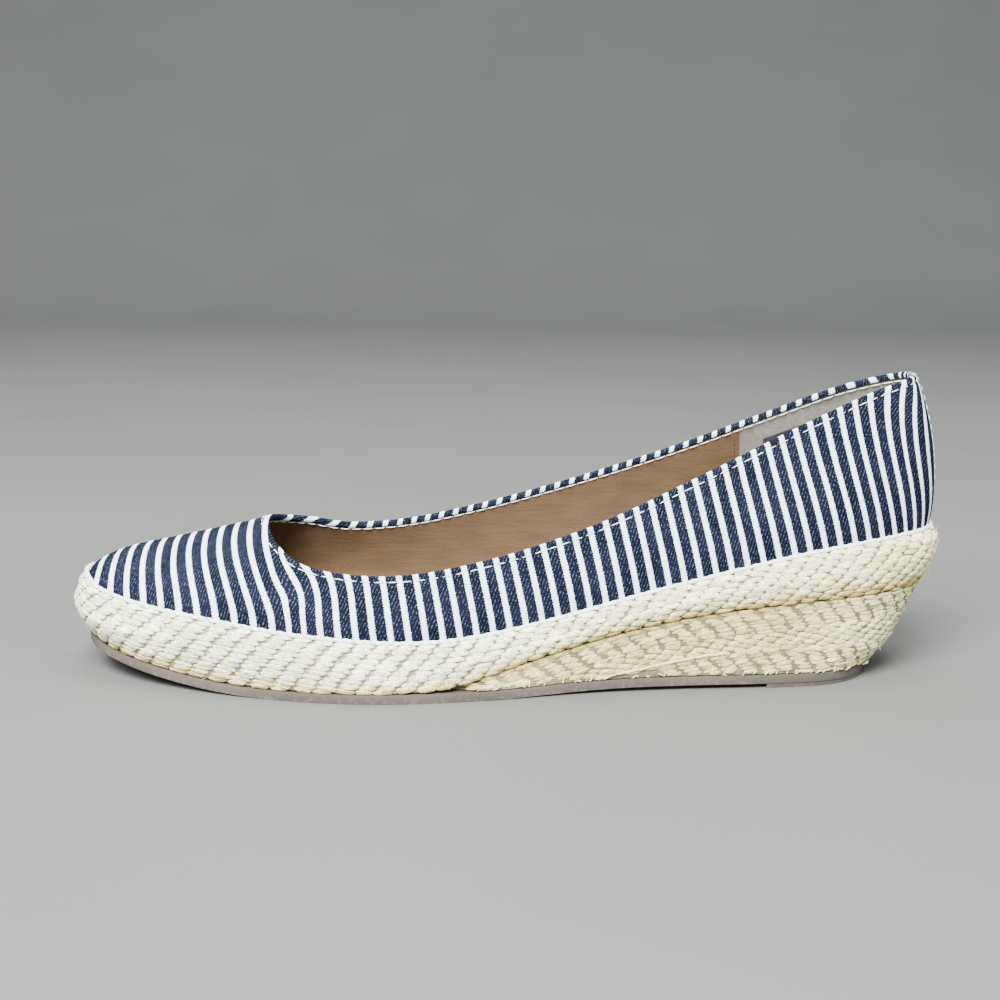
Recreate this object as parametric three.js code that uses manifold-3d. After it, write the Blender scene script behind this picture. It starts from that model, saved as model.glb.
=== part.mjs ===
// Low wedge espadrille pump for the left foot: a striped canvas upper on a jute-bound wedge sole.
// Millimetres, +Z up. The toe points to -X, the outer (lateral) side faces -Y, the floor is z = 0.
import * as THREE from 'three';
import { mergeVertices } from 'three/addons/utils/BufferGeometryUtils.js';
import Module from 'manifold-3d';

const wasm = await Module();
wasm.setup();

// Driving dimensions
const UPPER_WALL = 2.0; // canvas, stiffener and lining together
const GAP = 0.3; // between pieces that meet
const BAND_THICKNESS = 2.4; // jute tape round the feather edge
const BAND_BULGE = 1.0; // how far the tape's face swells at its fullest
const BAND_FULL_HEIGHT = 0.45; // share of the tape's height where it is fullest
const BAND_FULL_OUT = 0.6; // there, share of the way from the tape's foot to its top in plan
const TOE_BULGE = 1.6; // extra swelling at the toe tip
const TOE_BULGE_BACK = 42; // where that extra has gone
const BAND_SHOULDER = 3.4; // below the tape's top, where its face starts to turn in
const BAND_LIP = 1.1; // how far the top edge has turned in
const BAND_LIP_DROP = 0.7; // and how far it has dropped
const OUTSOLE_THICKNESS = 2.4;
const OUTSOLE_PROUD = 0.8; // outsole edge beyond the jute above it
const INSOLE_THICKNESS = 2.2;
const TREAD_LIFT = 1.3; // waist above the floor, made up under the heel by a raised tread
const TOE_SPRING = 8.2; // underside of the toe tip above the floor
const TOE_SPRING_POWER = 1.85;
const TOE_TIP = 4.5; // front end of the outsole
const BALL_FRONT = 62; // front end of the flat under the ball
const BALL_BACK = 116; // back end of the flat under the ball
const WAIST_FRONT = 165; // where the waist has risen to TREAD_LIFT
const TREAD_FRONT = 200; // front edge of the raised heel tread
const TREAD_INSET = 0.2; // heel tread inside the outsole's edge
const CUT_BLOCK = 200; // block that keeps the tread behind TREAD_FRONT, larger than the shoe is wide
const WEDGE_MIN = 0.6; // thinnest front end of the wedge
const WEDGE_BELLY = 3.6; // how far the wedge's back swells beyond a straight slope
const WEDGE_BELLY_HEIGHT = 0.26; // share of the wedge's height at which it swells most
const WEDGE_FOOT_SWELL = 0.45; // share of that swelling at the wedge's own foot
const BELLY_FRONT = 205; // the swelling grows from nothing here
const CORE_STEP = 0.05; // upright foot of the footbed, above the tape's foot
const WEDGE_FADE_FRONT = 109; // the wedge comes out from under the tape between these two
const WEDGE_FADE_BACK = 118;
const SEAM_PULL = 1.75; // how quickly the tape's foot follows the sole's outline

const STEPS = 4; // points for each row of SECTIONS
const UPPER_RINGS = 8; // rings from the tape's edge to the topline
const LINING_RINGS = 6; // rings down the inside
const NORMAL_STEP = 0.02; // share of the wall's height either side of a point, to find its slope

// A row for each section from toe to heel, distances from the toe tip and from the shoe's long axis.
// foot: the upper where it stands on the footbed. top: the topline, heights above the floor.
// sole: the outsole's edge. rise, lean, drop, reach: the handles of the wall's curve, up and inwards
// from the foot, then down and outwards from the topline.
const SECTIONS = [
  { footS: 4.3, footLat: -4, footMed: 4,
    topS: 57, topLat: -3, topMed: 3, topLatZ: 43.2, topMedZ: 43.2,
    soleS: 4.5, soleLat: -4, soleMed: 4, rise: 9, lean: 5.7, drop: 7, reach: 19 },
  { footS: 8.8, footLat: 10.8, footMed: 14.8,
    topS: 57.6, topLat: 4.5, topMed: 9, topLatZ: 42.2, topMedZ: 42.8,
    soleS: 8.5, soleLat: 11.5, soleMed: 15.5, rise: 8.7, lean: 5, drop: 6.5, reach: 18 },
  { footS: 21, footLat: 21.2, footMed: 22.8,
    topS: 59, topLat: 11.5, topMed: 14, topLatZ: 40.8, topMedZ: 42,
    soleS: 20, soleLat: 22.8, soleMed: 24.3, rise: 8.7, lean: 3.2, drop: 5.5, reach: 15 },
  { footS: 39, footLat: 30.4, footMed: 29,
    topS: 62, topLat: 18.5, topMed: 19.5, topLatZ: 38.5, topMedZ: 40.9,
    soleS: 40, soleLat: 33, soleMed: 31.6, rise: 9, lean: 1.2, drop: 4.8, reach: 9.5 },
  { footS: 57, footLat: 36.2, footMed: 33.8,
    topS: 68, topLat: 25.2, topMed: 25, topLatZ: 35.3, topMedZ: 39.5,
    soleS: 60, soleLat: 39.9, soleMed: 37, rise: 8, lean: -0.6, drop: 4.5, reach: 4.5 },
  { footS: 76, footLat: 38.9, footMed: 36.2,
    topS: 79, topLat: 30.4, topMed: 28.7, topLatZ: 33.5, topMedZ: 37.2,
    soleS: 78, soleLat: 44.2, soleMed: 39.6, rise: 7, lean: -1, drop: 4.5, reach: 2.8 },
  { footS: 97, footLat: 39, footMed: 35.6,
    topS: 97, topLat: 33.2, topMed: 29.8, topLatZ: 33.5, topMedZ: 38.1,
    soleS: 97, soleLat: 44.8, soleMed: 39, rise: 6.5, lean: -1, drop: 5, reach: 2 },
  { footS: 120, footLat: 36.1, footMed: 31.2,
    topS: 120, topLat: 30.9, topMed: 26.5, topLatZ: 37.3, topMedZ: 43.5,
    soleS: 120, soleLat: 41.6, soleMed: 34.4, rise: 7, lean: -0.9, drop: 6, reach: 2 },
  { footS: 150, footLat: 31.4, footMed: 26.6,
    topS: 150, topLat: 26.7, topMed: 23.2, topLatZ: 46.4, topMedZ: 52.6,
    soleS: 148, soleLat: 35.2, soleMed: 29.4, rise: 8, lean: -0.9, drop: 8, reach: 2 },
  { footS: 180, footLat: 29, footMed: 26,
    topS: 180, topLat: 23.4, topMed: 21.8, topLatZ: 60, topMedZ: 62.8,
    soleS: 176, soleLat: 31.5, soleMed: 28.2, rise: 10, lean: -1.1, drop: 11, reach: 2.6 },
  { footS: 210, footLat: 27.1, footMed: 27,
    topS: 207.5, topLat: 19.8, topMed: 19.8, topLatZ: 73.3, topMedZ: 73.6,
    soleS: 201, soleLat: 29.6, soleMed: 28.6, rise: 12, lean: -1.4, drop: 14, reach: 3.6 },
  { footS: 234, footLat: 20.8, footMed: 21,
    topS: 229.6, topLat: 13.8, topMed: 13.8, topLatZ: 82.6, topMedZ: 82.8,
    soleS: 220.5, soleLat: 25.6, soleMed: 25.4, rise: 14, lean: -1.8, drop: 14, reach: 5 },
  { footS: 248.4, footLat: 11, footMed: 11.2,
    topS: 243.2, topLat: 7.2, topMed: 7.4, topLatZ: 86.7, topMedZ: 86.9,
    soleS: 231, soleLat: 15.5, soleMed: 15.5, rise: 15, lean: -2.6, drop: 14, reach: 5.6 },
  { footS: 252.6, footLat: 0, footMed: 0,
    topS: 246.6, topLat: 0, topMed: 0, topLatZ: 87.8, topMedZ: 87.8,
    soleS: 233.8, soleLat: 0, soleMed: 0, rise: 15, lean: -2.8, drop: 14, reach: 6 },
];

// Heights above the floor along the last: the top of the jute tape, its foot, and the footbed.
const HEIGHTS = [
  { s: 5, tapeTop: 27, tapeFoot: 11, footbed: 14.6 },
  { s: 10, tapeTop: 24.8, tapeFoot: 9.7, footbed: 13 },
  { s: 21, tapeTop: 22.6, tapeFoot: 7.2, footbed: 10.9 },
  { s: 45, tapeTop: 20, tapeFoot: 3.6, footbed: 7.7 },
  { s: 70, tapeTop: 17, tapeFoot: 2.7, footbed: 6.6 },
  { s: 95, tapeTop: 15.2, tapeFoot: 2.7, footbed: 6.6 },
  { s: 108, tapeTop: 15.5, tapeFoot: 3.6, footbed: 7.2 },
  { s: 120, tapeTop: 16.9, tapeFoot: 6.5, footbed: 8.8 },
  { s: 135, tapeTop: 19.8, tapeFoot: 10.8, footbed: 12.2 },
  { s: 150, tapeTop: 23.4, tapeFoot: 15, footbed: 16.8 },
  { s: 165, tapeTop: 27.4, tapeFoot: 18.6, footbed: 20.8 },
  { s: 185, tapeTop: 32.3, tapeFoot: 22.2, footbed: 25.4 },
  { s: 210, tapeTop: 38, tapeFoot: 24.8, footbed: 30.4 },
  { s: 235, tapeTop: 41.4, tapeFoot: 26.3, footbed: 33.4 },
  { s: 256, tapeTop: 43, tapeFoot: 27.4, footbed: 34.6 },
];

const LAST_ROW = SECTIONS.length - 1;
const ROUND_ROWS = 2 * LAST_ROW; // rows met on one turn round the foot
const COUNT = ROUND_ROWS * STEPS;

// A closed curve round the foot: out along the lateral side to the heel, back along the medial side.
function curveRound(lateralPoint, medialPoint, type) {
  const lateral = SECTIONS.map(lateralPoint);
  const medial = SECTIONS.slice(1, LAST_ROW).reverse().map(medialPoint);
  return new THREE.CatmullRomCurve3([...lateral, ...medial], true, type);
}

function loop(curve) {
  return Array.from({ length: COUNT }, (_, i) => curve.getPoint(i / COUNT));
}

// A height from the HEIGHTS table, smooth from row to row.
function height(name, s) {
  const last = HEIGHTS.length - 1;
  const value = (i) => HEIGHTS[Math.min(Math.max(i, 0), last)];
  const clamped = Math.min(Math.max(s, HEIGHTS[0].s), HEIGHTS[last].s);
  const row = Math.min(HEIGHTS.findLastIndex((r) => r.s <= clamped), last - 1);
  const [before, from, to, after] = [row - 1, row, row + 1, row + 2].map(value);
  const span = to.s - from.s;
  const slope = (a, b) => (b.s > a.s ? (b[name] - a[name]) / (b.s - a.s) : 0);
  const slopeIn = slope(before, to) * span;
  const slopeOut = slope(from, after) * span;
  const t = (clamped - from.s) / span;
  const h = THREE.MathUtils.lerp;
  const cubic = (2 * t - 3) * t * t;
  return h(from[name], to[name], -cubic) + slopeIn * t * (1 - t) ** 2 - slopeOut * t * t * (1 - t);
}

// Underside of the outsole: toe spring, the flat under the ball, and the raised waist and heel.
function ground(s) {
  if (s < BALL_FRONT) {
    return TOE_SPRING * ((BALL_FRONT - s) / (BALL_FRONT - TOE_TIP)) ** TOE_SPRING_POWER;
  }
  return TREAD_LIFT * THREE.MathUtils.smoothstep(s, BALL_BACK, WAIST_FRONT);
}

// The last's own curves
const footLoop = loop(curveRound(
  (r) => new THREE.Vector3(r.footS, -r.footLat, 0),
  (r) => new THREE.Vector3(r.footS, r.footMed, 0),
  'centripetal',
));
const topLoop = loop(curveRound(
  (r) => new THREE.Vector3(r.topS, -r.topLat, r.topLatZ),
  (r) => new THREE.Vector3(r.topS, r.topMed, r.topMedZ),
  'centripetal',
));
const soleLoop = loop(curveRound(
  (r) => new THREE.Vector3(r.soleS, -r.soleLat, 0),
  (r) => new THREE.Vector3(r.soleS, r.soleMed, 0),
  'centripetal',
));
const footHandles = loop(curveRound(
  (r) => new THREE.Vector3(r.rise, r.lean, 0),
  (r) => new THREE.Vector3(r.rise, r.lean, 0),
  'catmullrom',
));
const topHandles = loop(curveRound(
  (r) => new THREE.Vector3(r.drop, r.reach, 0),
  (r) => new THREE.Vector3(r.drop, r.reach, 0),
  'catmullrom',
));

// Moves a plan curve outwards by a distance, or inwards by a negative one.
function offset(points, distance) {
  return points.map((p, i) => {
    const next = points[(i + 1) % COUNT];
    const previous = points[(i + COUNT - 1) % COUNT];
    const along = new THREE.Vector3().subVectors(next, previous).setZ(0).normalize();
    return new THREE.Vector3(p.x + along.y * distance, p.y - along.x * distance, p.z);
  });
}

// Gives a plan curve its heights.
function atHeight(points, heightOf) {
  return points.map((p, i) => new THREE.Vector3(p.x, p.y, heightOf(p, i)));
}

const footTape = (p, i) => height('tapeTop', footLoop[i].x);
const footBed = (p, i) => height('footbed', footLoop[i].x);
const soleTop = (p, i) => ground(soleLoop[i].x) + OUTSOLE_THICKNESS;
const jutePlane = (p, i) => soleTop(p, i) + GAP;
const footSeam = (p, i) => Math.max(height('tapeFoot', footLoop[i].x), jutePlane(p, i));

// The tape's foot follows the upper at the heel and the sole's own outline at the forefoot.
const tapeOuter = offset(footLoop, GAP + BAND_THICKNESS);
const soleInset = offset(soleLoop, -OUTSOLE_PROUD);
const seamOuter = tapeOuter.map((p, i) => {
  const low = jutePlane(p, i);
  const share = (footSeam(p, i) - low) / (footTape(p, i) - low);
  return new THREE.Vector3().lerpVectors(p, soleInset[i], (1 - share) ** SEAM_PULL);
});
const seamInner = offset(seamOuter, -BAND_THICKNESS);

// Joins rings of points into a wall that closes on itself round the foot and round its thickness.
function tubeWall(rings) {
  const position = rings.flat().flatMap((p) => [p.x, p.y, p.z]);
  const index = [];
  rings.forEach((ring, r) => {
    const nextRing = (r + 1) % rings.length;
    ring.forEach((_, i) => {
      const nextPoint = (i + 1) % COUNT;
      const a = r * COUNT + i;
      const b = r * COUNT + nextPoint;
      const c = nextRing * COUNT + nextPoint;
      const d = nextRing * COUNT + i;
      index.push(a, b, c, a, c, d);
    });
  });
  return geometryFrom(position, index);
}

// Joins rings of points from the bottom up into a solid, closed across the foot below and above.
function plate(rings) {
  const position = rings.flat().flatMap((p) => [p.x, p.y, p.z]);
  const index = [];
  for (let r = 0; r < rings.length - 1; r += 1) {
    for (let i = 0; i < COUNT; i += 1) {
      const a = r * COUNT + i;
      const b = r * COUNT + ((i + 1) % COUNT);
      index.push(a, b, b + COUNT, a, b + COUNT, a + COUNT);
    }
  }
  const top = (rings.length - 1) * COUNT;
  for (let i = 0; i < COUNT / 2; i += 1) {
    const [lateral, lateralNext] = [i, i + 1];
    const [medial, medialNext] = [(COUNT - i) % COUNT, COUNT - i - 1];
    if (i > 0) {
      index.push(lateral, medial, lateralNext);
      index.push(top + lateral, top + lateralNext, top + medial);
    }
    if (medialNext !== lateralNext) {
      index.push(lateralNext, medial, medialNext);
      index.push(top + lateralNext, top + medialNext, top + medial);
    }
  }
  return geometryFrom(position, index);
}

function geometryFrom(position, index) {
  const geometry = new THREE.BufferGeometry();
  geometry.setAttribute('position', new THREE.Float32BufferAttribute(position, 3));
  geometry.setIndex(index);
  return geometry;
}

// Turns a closed geometry into a solid for joining and cutting, and back.
function toSolid(geometry) {
  const merged = mergeVertices(geometry);
  return new wasm.Manifold(new wasm.Mesh({
    numProp: 3,
    vertProperties: merged.attributes.position.array,
    triVerts: Uint32Array.from(merged.index.array),
  }));
}

function fromSolid(solid) {
  const mesh = solid.getMesh();
  return geometryFrom(Array.from(mesh.vertProperties), Array.from(mesh.triVerts));
}

// The outer surface of the upper: v runs from the tape's edge, 0, to the topline, 1.
function upperPoint(i, v) {
  const foot = footLoop[i].clone().setZ(footTape(footLoop[i], i));
  const top = topLoop[i];
  const inwards = new THREE.Vector3().subVectors(top, foot).setZ(0).normalize();
  const low = foot.clone().addScaledVector(inwards, footHandles[i].y).setZ(foot.z + footHandles[i].x);
  const high = top.clone().addScaledVector(inwards, -topHandles[i].y).setZ(top.z - topHandles[i].x);
  return new THREE.CubicBezierCurve3(foot, low, high, top).getPoint(v);
}

// The same surface, moved inwards by the wall.
function liningPoint(i, v) {
  const along = new THREE.Vector3().subVectors(
    upperPoint((i + 1) % COUNT, v),
    upperPoint((i + COUNT - 1) % COUNT, v),
  );
  const up = new THREE.Vector3().subVectors(
    upperPoint(i, Math.min(v + NORMAL_STEP, 1)),
    upperPoint(i, Math.max(v - NORMAL_STEP, 0)),
  );
  const outwards = new THREE.Vector3().crossVectors(along, up).normalize();
  return upperPoint(i, v).addScaledVector(outwards, -UPPER_WALL);
}

function upper() {
  const ring = (pointAt, v) => footLoop.map((_, i) => pointAt(i, v));
  const outer = Array.from({ length: UPPER_RINGS + 1 }, (_, k) => ring(upperPoint, k / UPPER_RINGS));
  const inner = Array.from({ length: LINING_RINGS }, (_, k) => ring(liningPoint, 1 - k / LINING_RINGS));
  const stand = (p, i) => footBed(p, i) + GAP;
  return tubeWall([
    atHeight(footLoop, stand),
    ...outer,
    ...inner,
    atHeight(offset(footLoop, -UPPER_WALL), footTape),
    atHeight(offset(footLoop, -UPPER_WALL), stand),
  ]);
}

// Sock and board, inside the upper's walls.
function insole() {
  const outline = offset(footLoop, -UPPER_WALL - GAP);
  return plate([
    atHeight(outline, (p, i) => footBed(p, i) + GAP),
    atHeight(outline, (p, i) => footBed(p, i) + GAP + INSOLE_THICKNESS),
  ]);
}

// Jute tape round the shoe, from the outsole or the wedge's ledge up to the canvas.
function juteBand() {
  const chord = seamOuter.map((p, i) => new THREE.Vector3().lerpVectors(p, tapeOuter[i], BAND_FULL_OUT));
  const proud = offset(chord, 1);
  const face = chord.map((p, i) => {
    const toe = 1 - THREE.MathUtils.smoothstep(footLoop[i].x, footLoop[0].x, TOE_BULGE_BACK);
    return new THREE.Vector3().lerpVectors(p, proud[i], BAND_BULGE + TOE_BULGE * toe);
  });
  return tubeWall([
    atHeight(seamInner, footSeam),
    atHeight(seamOuter, footSeam),
    atHeight(face, (p, i) => THREE.MathUtils.lerp(footSeam(p, i), footTape(p, i), BAND_FULL_HEIGHT)),
    atHeight(tapeOuter, (p, i) => footTape(p, i) - BAND_SHOULDER),
    atHeight(offset(tapeOuter, -BAND_LIP), (p, i) => footTape(p, i) - BAND_LIP_DROP),
    atHeight(offset(footLoop, GAP), footTape),
    atHeight(offset(footLoop, GAP), footBed),
  ]);
}

// Footbed inside the tape, joined to the wedge that widens to the tape's face behind the ball.
function wedgeMidsole() {
  const ledge = (p, i) => Math.max(footSeam(p, i) - GAP, jutePlane(p, i) + WEDGE_MIN);
  const core = plate([
    atHeight(offset(seamInner, -GAP), (p, i) => ledge(p, i) - WEDGE_MIN),
    atHeight(offset(seamInner, -GAP), (p, i) => footSeam(p, i) + CORE_STEP),
    atHeight(footLoop, footBed),
  ]);
  const buried = offset(seamInner, -BAND_THICKNESS);
  const widen = (outline) => outline.map((p, i) => {
    const share = THREE.MathUtils.smoothstep(footLoop[i].x, WEDGE_FADE_FRONT, WEDGE_FADE_BACK);
    return new THREE.Vector3().lerpVectors(buried[i], p, share);
  });
  const swell = (outline, share) => outline.map((p, i) => {
    const heel = THREE.MathUtils.smoothstep(footLoop[i].x, BELLY_FRONT, footLoop[COUNT / 2].x);
    return new THREE.Vector3(p.x + WEDGE_BELLY * share * heel, p.y, p.z);
  });
  const belly = soleInset.map((p, i) => new THREE.Vector3().lerpVectors(p, seamOuter[i], WEDGE_BELLY_HEIGHT));
  const bellyZ = (p, i) => THREE.MathUtils.lerp(jutePlane(p, i), ledge(p, i), WEDGE_BELLY_HEIGHT);
  const wedge = plate([
    atHeight(widen(swell(soleInset, WEDGE_FOOT_SWELL)), jutePlane),
    atHeight(widen(swell(belly, 1)), bellyZ),
    atHeight(widen(offset(seamOuter, -GAP)), ledge),
  ]);
  return fromSolid(toSolid(core).add(toSolid(wedge)));
}

// Rubber sheet under everything, with a raised tread under the heel that meets the floor.
function outsole() {
  const sheet = plate([
    atHeight(soleLoop, (p) => ground(p.x)),
    atHeight(soleLoop, soleTop),
  ]);
  const treadOutline = offset(soleLoop, -TREAD_INSET);
  const tread = plate([
    atHeight(treadOutline, () => 0),
    atHeight(treadOutline, () => TREAD_LIFT + OUTSOLE_THICKNESS / 2),
  ]);
  const behind = new THREE.BoxGeometry(CUT_BLOCK, CUT_BLOCK, CUT_BLOCK);
  behind.translate(TREAD_FRONT + CUT_BLOCK / 2, 0, 0);
  behind.deleteAttribute('normal');
  behind.deleteAttribute('uv');
  return fromSolid(toSolid(sheet).add(toSolid(tread).intersect(toSolid(behind))));
}

const FINISHES = {
  outsole: { colour: 0x9c8f86, roughness: 0.85 },
  wedge_midsole: { colour: 0xd9c9a3, roughness: 0.95 },
  jute_band: { colour: 0xe6dcc4, roughness: 0.95 },
  insole: { colour: 0xb89068, roughness: 0.6 },
  upper: { colour: 0x2b3150, roughness: 0.9 },
};

function pieceMesh(name, geometry) {
  const { colour, roughness } = FINISHES[name];
  const material = new THREE.MeshStandardMaterial({ color: colour, roughness, metalness: 0 });
  const mesh = new THREE.Mesh(geometry, material);
  mesh.name = name;
  return mesh;
}

const shoe = new THREE.Group();
shoe.add(
  pieceMesh('outsole', outsole()),
  pieceMesh('wedge_midsole', wedgeMidsole()),
  pieceMesh('jute_band', juteBand()),
  pieceMesh('insole', insole()),
  pieceMesh('upper', upper()),
);

// The origin is on the floor, under the middle of the shoe's box.
const middle = new THREE.Box3().setFromObject(shoe).getCenter(new THREE.Vector3());
shoe.position.set(-middle.x, -middle.y, 0);

export default shoe;
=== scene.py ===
"""Looks of a low wedge espadrille: striped canvas, woven jute tape, herringbone wedge, rubber sole."""
import math

import bpy
import numpy as np
from mathutils import Matrix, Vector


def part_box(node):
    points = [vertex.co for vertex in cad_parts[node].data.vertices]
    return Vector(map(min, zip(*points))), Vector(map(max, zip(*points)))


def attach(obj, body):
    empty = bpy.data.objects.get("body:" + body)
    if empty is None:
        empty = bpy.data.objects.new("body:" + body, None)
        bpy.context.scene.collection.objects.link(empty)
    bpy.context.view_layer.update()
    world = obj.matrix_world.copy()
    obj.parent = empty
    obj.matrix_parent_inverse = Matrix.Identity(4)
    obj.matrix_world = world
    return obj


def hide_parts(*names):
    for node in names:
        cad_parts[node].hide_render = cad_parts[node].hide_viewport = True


bl_info = {
    "name": "Striped wedge espadrille",
    "version": (1, 0, 0),
    "blender": (4, 5, 0),
    "location": "View3D > Sidebar > Espadrille",
    "description": "Builds the canvas, jute and rubber pieces of an espadrille on its CAD frame",
    "category": "Add Mesh",
}

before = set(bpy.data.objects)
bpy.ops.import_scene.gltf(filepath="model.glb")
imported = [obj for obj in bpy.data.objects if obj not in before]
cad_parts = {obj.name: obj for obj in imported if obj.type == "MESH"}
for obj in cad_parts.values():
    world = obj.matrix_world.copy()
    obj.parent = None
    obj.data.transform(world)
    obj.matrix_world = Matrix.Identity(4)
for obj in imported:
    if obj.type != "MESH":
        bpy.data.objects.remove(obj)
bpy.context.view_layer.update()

MM = 0.001
TINY = 1e-9  # keeps a division from failing
MAP_NAME = "cloth"
MERGE_DISTANCE = 0.00001  # metres between points that are one

# The last, in millimetres from the toe tip and the long axis, as in the part's source.
# Each row: foot (s, lateral, medial), topline (s, lateral, medial, lateral height, medial height),
# sole (s, lateral, medial), and the wall's handles (rise, lean, drop, reach).
SECTIONS = [
    ((4.3, -4, 4), (57, -3, 3, 43.2, 43.2), (4.5, -4, 4), (9, 5.7, 7, 19)),
    ((8.8, 10.8, 14.8), (57.6, 4.5, 9, 42.2, 42.8), (8.5, 11.5, 15.5), (8.7, 5, 6.5, 18)),
    ((21, 21.2, 22.8), (59, 11.5, 14, 40.8, 42), (20, 22.8, 24.3), (8.7, 3.2, 5.5, 15)),
    ((39, 30.4, 29), (62, 18.5, 19.5, 38.5, 40.9), (40, 33, 31.6), (9, 1.2, 4.8, 9.5)),
    ((57, 36.2, 33.8), (68, 25.2, 25, 35.3, 39.5), (60, 39.9, 37), (8, -0.6, 4.5, 4.5)),
    ((76, 38.9, 36.2), (79, 30.4, 28.7, 33.5, 37.2), (78, 44.2, 39.6), (7, -1, 4.5, 2.8)),
    ((97, 39, 35.6), (97, 33.2, 29.8, 33.5, 38.1), (97, 44.8, 39), (6.5, -1, 5, 2)),
    ((120, 36.1, 31.2), (120, 30.9, 26.5, 37.3, 43.5), (120, 41.6, 34.4), (7, -0.9, 6, 2)),
    ((150, 31.4, 26.6), (150, 26.7, 23.2, 46.4, 52.6), (148, 35.2, 29.4), (8, -0.9, 8, 2)),
    ((180, 29, 26), (180, 23.4, 21.8, 60, 62.8), (176, 31.5, 28.2), (10, -1.1, 11, 2.6)),
    ((210, 27.1, 27), (207.5, 19.8, 19.8, 73.3, 73.6), (201, 29.6, 28.6), (12, -1.4, 14, 3.6)),
    ((234, 20.8, 21), (229.6, 13.8, 13.8, 82.6, 82.8), (220.5, 25.6, 25.4), (14, -1.8, 14, 5)),
    ((248.4, 11, 11.2), (243.2, 7.2, 7.4, 86.7, 86.9), (231, 15.5, 15.5), (15, -2.6, 14, 5.6)),
    ((252.6, 0, 0), (246.6, 0, 0, 87.8, 87.8), (233.8, 0, 0), (15, -2.8, 14, 6)),
]
# Distance from the toe: top of the jute tape, its foot, and the footbed, above the floor.
HEIGHTS = np.array([
    (5, 27, 11, 14.6), (10, 24.8, 9.7, 13), (21, 22.6, 7.2, 10.9), (45, 20, 3.6, 7.7),
    (70, 17, 2.7, 6.6), (95, 15.2, 2.7, 6.6), (108, 15.5, 3.6, 7.2), (120, 16.9, 6.5, 8.8),
    (135, 19.8, 10.8, 12.2), (150, 23.4, 15, 16.8), (165, 27.4, 18.6, 20.8), (185, 32.3, 22.2, 25.4),
    (210, 38, 24.8, 30.4), (235, 41.4, 26.3, 33.4), (256, 43, 27.4, 34.6),
], float)
TAPE_TOP, TAPE_FOOT, FOOTBED = 1, 2, 3

UPPER_WALL = 2.0  # canvas, stiffener and lining together
GAP = 0.3  # between pieces that meet
BAND_THICKNESS = 2.4  # jute tape round the shoe
BAND_BULGE = 1.0  # how far the tape's face swells at its fullest
BAND_FULL_HEIGHT = 0.45  # share of the tape's height where it is fullest
BAND_FULL_OUT = 0.6  # there, share of the way from the tape's foot to its top in plan
TOE_BULGE = 1.6  # extra swelling at the toe tip
TOE_BULGE_BACK = 42  # where that extra has gone
BAND_SHOULDER = 3.4  # below the tape's top, where its face starts to turn in
BAND_LIP = 1.1  # how far the top edge has turned in
BAND_LIP_DROP = 0.7  # and how far it has dropped
BAND_HEM = 0.25  # above the tape's foot, where its face starts to turn under
TUCK = 1.0  # how far a woven edge turns in under the piece above or below it
OUTSOLE_THICKNESS = 2.4
OUTSOLE_PROUD = 0.8  # outsole edge beyond the jute above it
INSOLE_THICKNESS = 2.2
TREAD_LIFT = 1.3  # waist above the floor, made up under the heel by a raised tread
TREAD_FRONT = 200  # front edge of the raised heel tread
TOE_SPRING = 8.2  # underside of the toe tip above the floor
TOE_SPRING_POWER = 1.85
TOE_TIP = 4.5  # front end of the outsole
BALL_FRONT = 62  # front end of the flat under the ball
BALL_BACK = 116  # back end of the flat under the ball
WAIST_FRONT = 165  # where the waist has risen to TREAD_LIFT
WEDGE_MIN = 0.6  # thinnest front end of the wedge
WEDGE_BELLY = 3.6  # how far the wedge's back swells beyond a straight slope
WEDGE_BELLY_HEIGHT = 0.26  # share of the wedge's height at which it swells most
WEDGE_FOOT_SWELL = 0.45  # share of that swelling at the wedge's own foot
BELLY_FRONT = 205  # the swelling grows from nothing here
WEDGE_FADE_FRONT = 109  # the wedge comes out from under the tape between these two
WEDGE_FADE_BACK = 118
SEAM_PULL = 1.75  # how quickly the tape's foot follows the sole's outline

LAST_ROW = len(SECTIONS) - 1
ROWS = 2 * LAST_ROW  # met on one turn round the foot: 0 is the toe, LAST_ROW the heel
STEPS = 4  # points for each row in the CAD solids


def smoothstep(x, low, high):
    t = np.clip((x - low) / (high - low), 0, 1)
    return t * t * (3 - 2 * t)


def lerp(a, b, t):
    return a + (b - a) * t


def unit(vectors):
    """The same directions with a length of 1."""
    return vectors / np.maximum(np.linalg.norm(vectors, axis=-1, keepdims=True), TINY)


def walked_length(line):
    """Distance walked along a line of points, from 0 at its first."""
    return np.concatenate([[0], np.cumsum(np.linalg.norm(np.diff(line, axis=0), axis=1))])


def even_rows(per_row, last=ROWS):
    """Even places from the toe, per_row of them to each row of SECTIONS, both ends included."""
    return np.linspace(0, last, last * per_row + 1)


# ---- The last's curves -------------------------------------------------------------------------

def closed_curve(lateral, medial, centripetal=True):
    """A smooth closed curve through the lateral points to the heel and the medial points back."""
    p1 = np.array(lateral + medial[1:LAST_ROW][::-1], float)
    p0, p2, p3 = np.roll(p1, 1, 0), np.roll(p1, -1, 0), np.roll(p1, -2, 0)
    if centripetal:
        def gap(a, b):
            return ((b - a) ** 2).sum(1, keepdims=True) ** 0.25
        d0, d1, d2 = gap(p0, p1), gap(p1, p2), gap(p2, p3)
        t1 = ((p1 - p0) / d0 - (p2 - p0) / (d0 + d1) + (p2 - p1) / d1) * d1
        t2 = ((p2 - p1) / d1 - (p3 - p1) / (d1 + d2) + (p3 - p2) / d2) * d1
    else:
        t1, t2 = (p2 - p0) / 2, (p3 - p1) / 2
    square, cube = 3 * (p2 - p1) - 2 * t1 - t2, 2 * (p1 - p2) + t1 + t2

    def at(row):
        row = np.asarray(row, float) % ROWS
        k = np.minimum(row.astype(int), ROWS - 1)
        w = (row - k)[..., None]
        return ((cube[k] * w + square[k]) * w + t1[k]) * w + p1[k]
    return at


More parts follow.
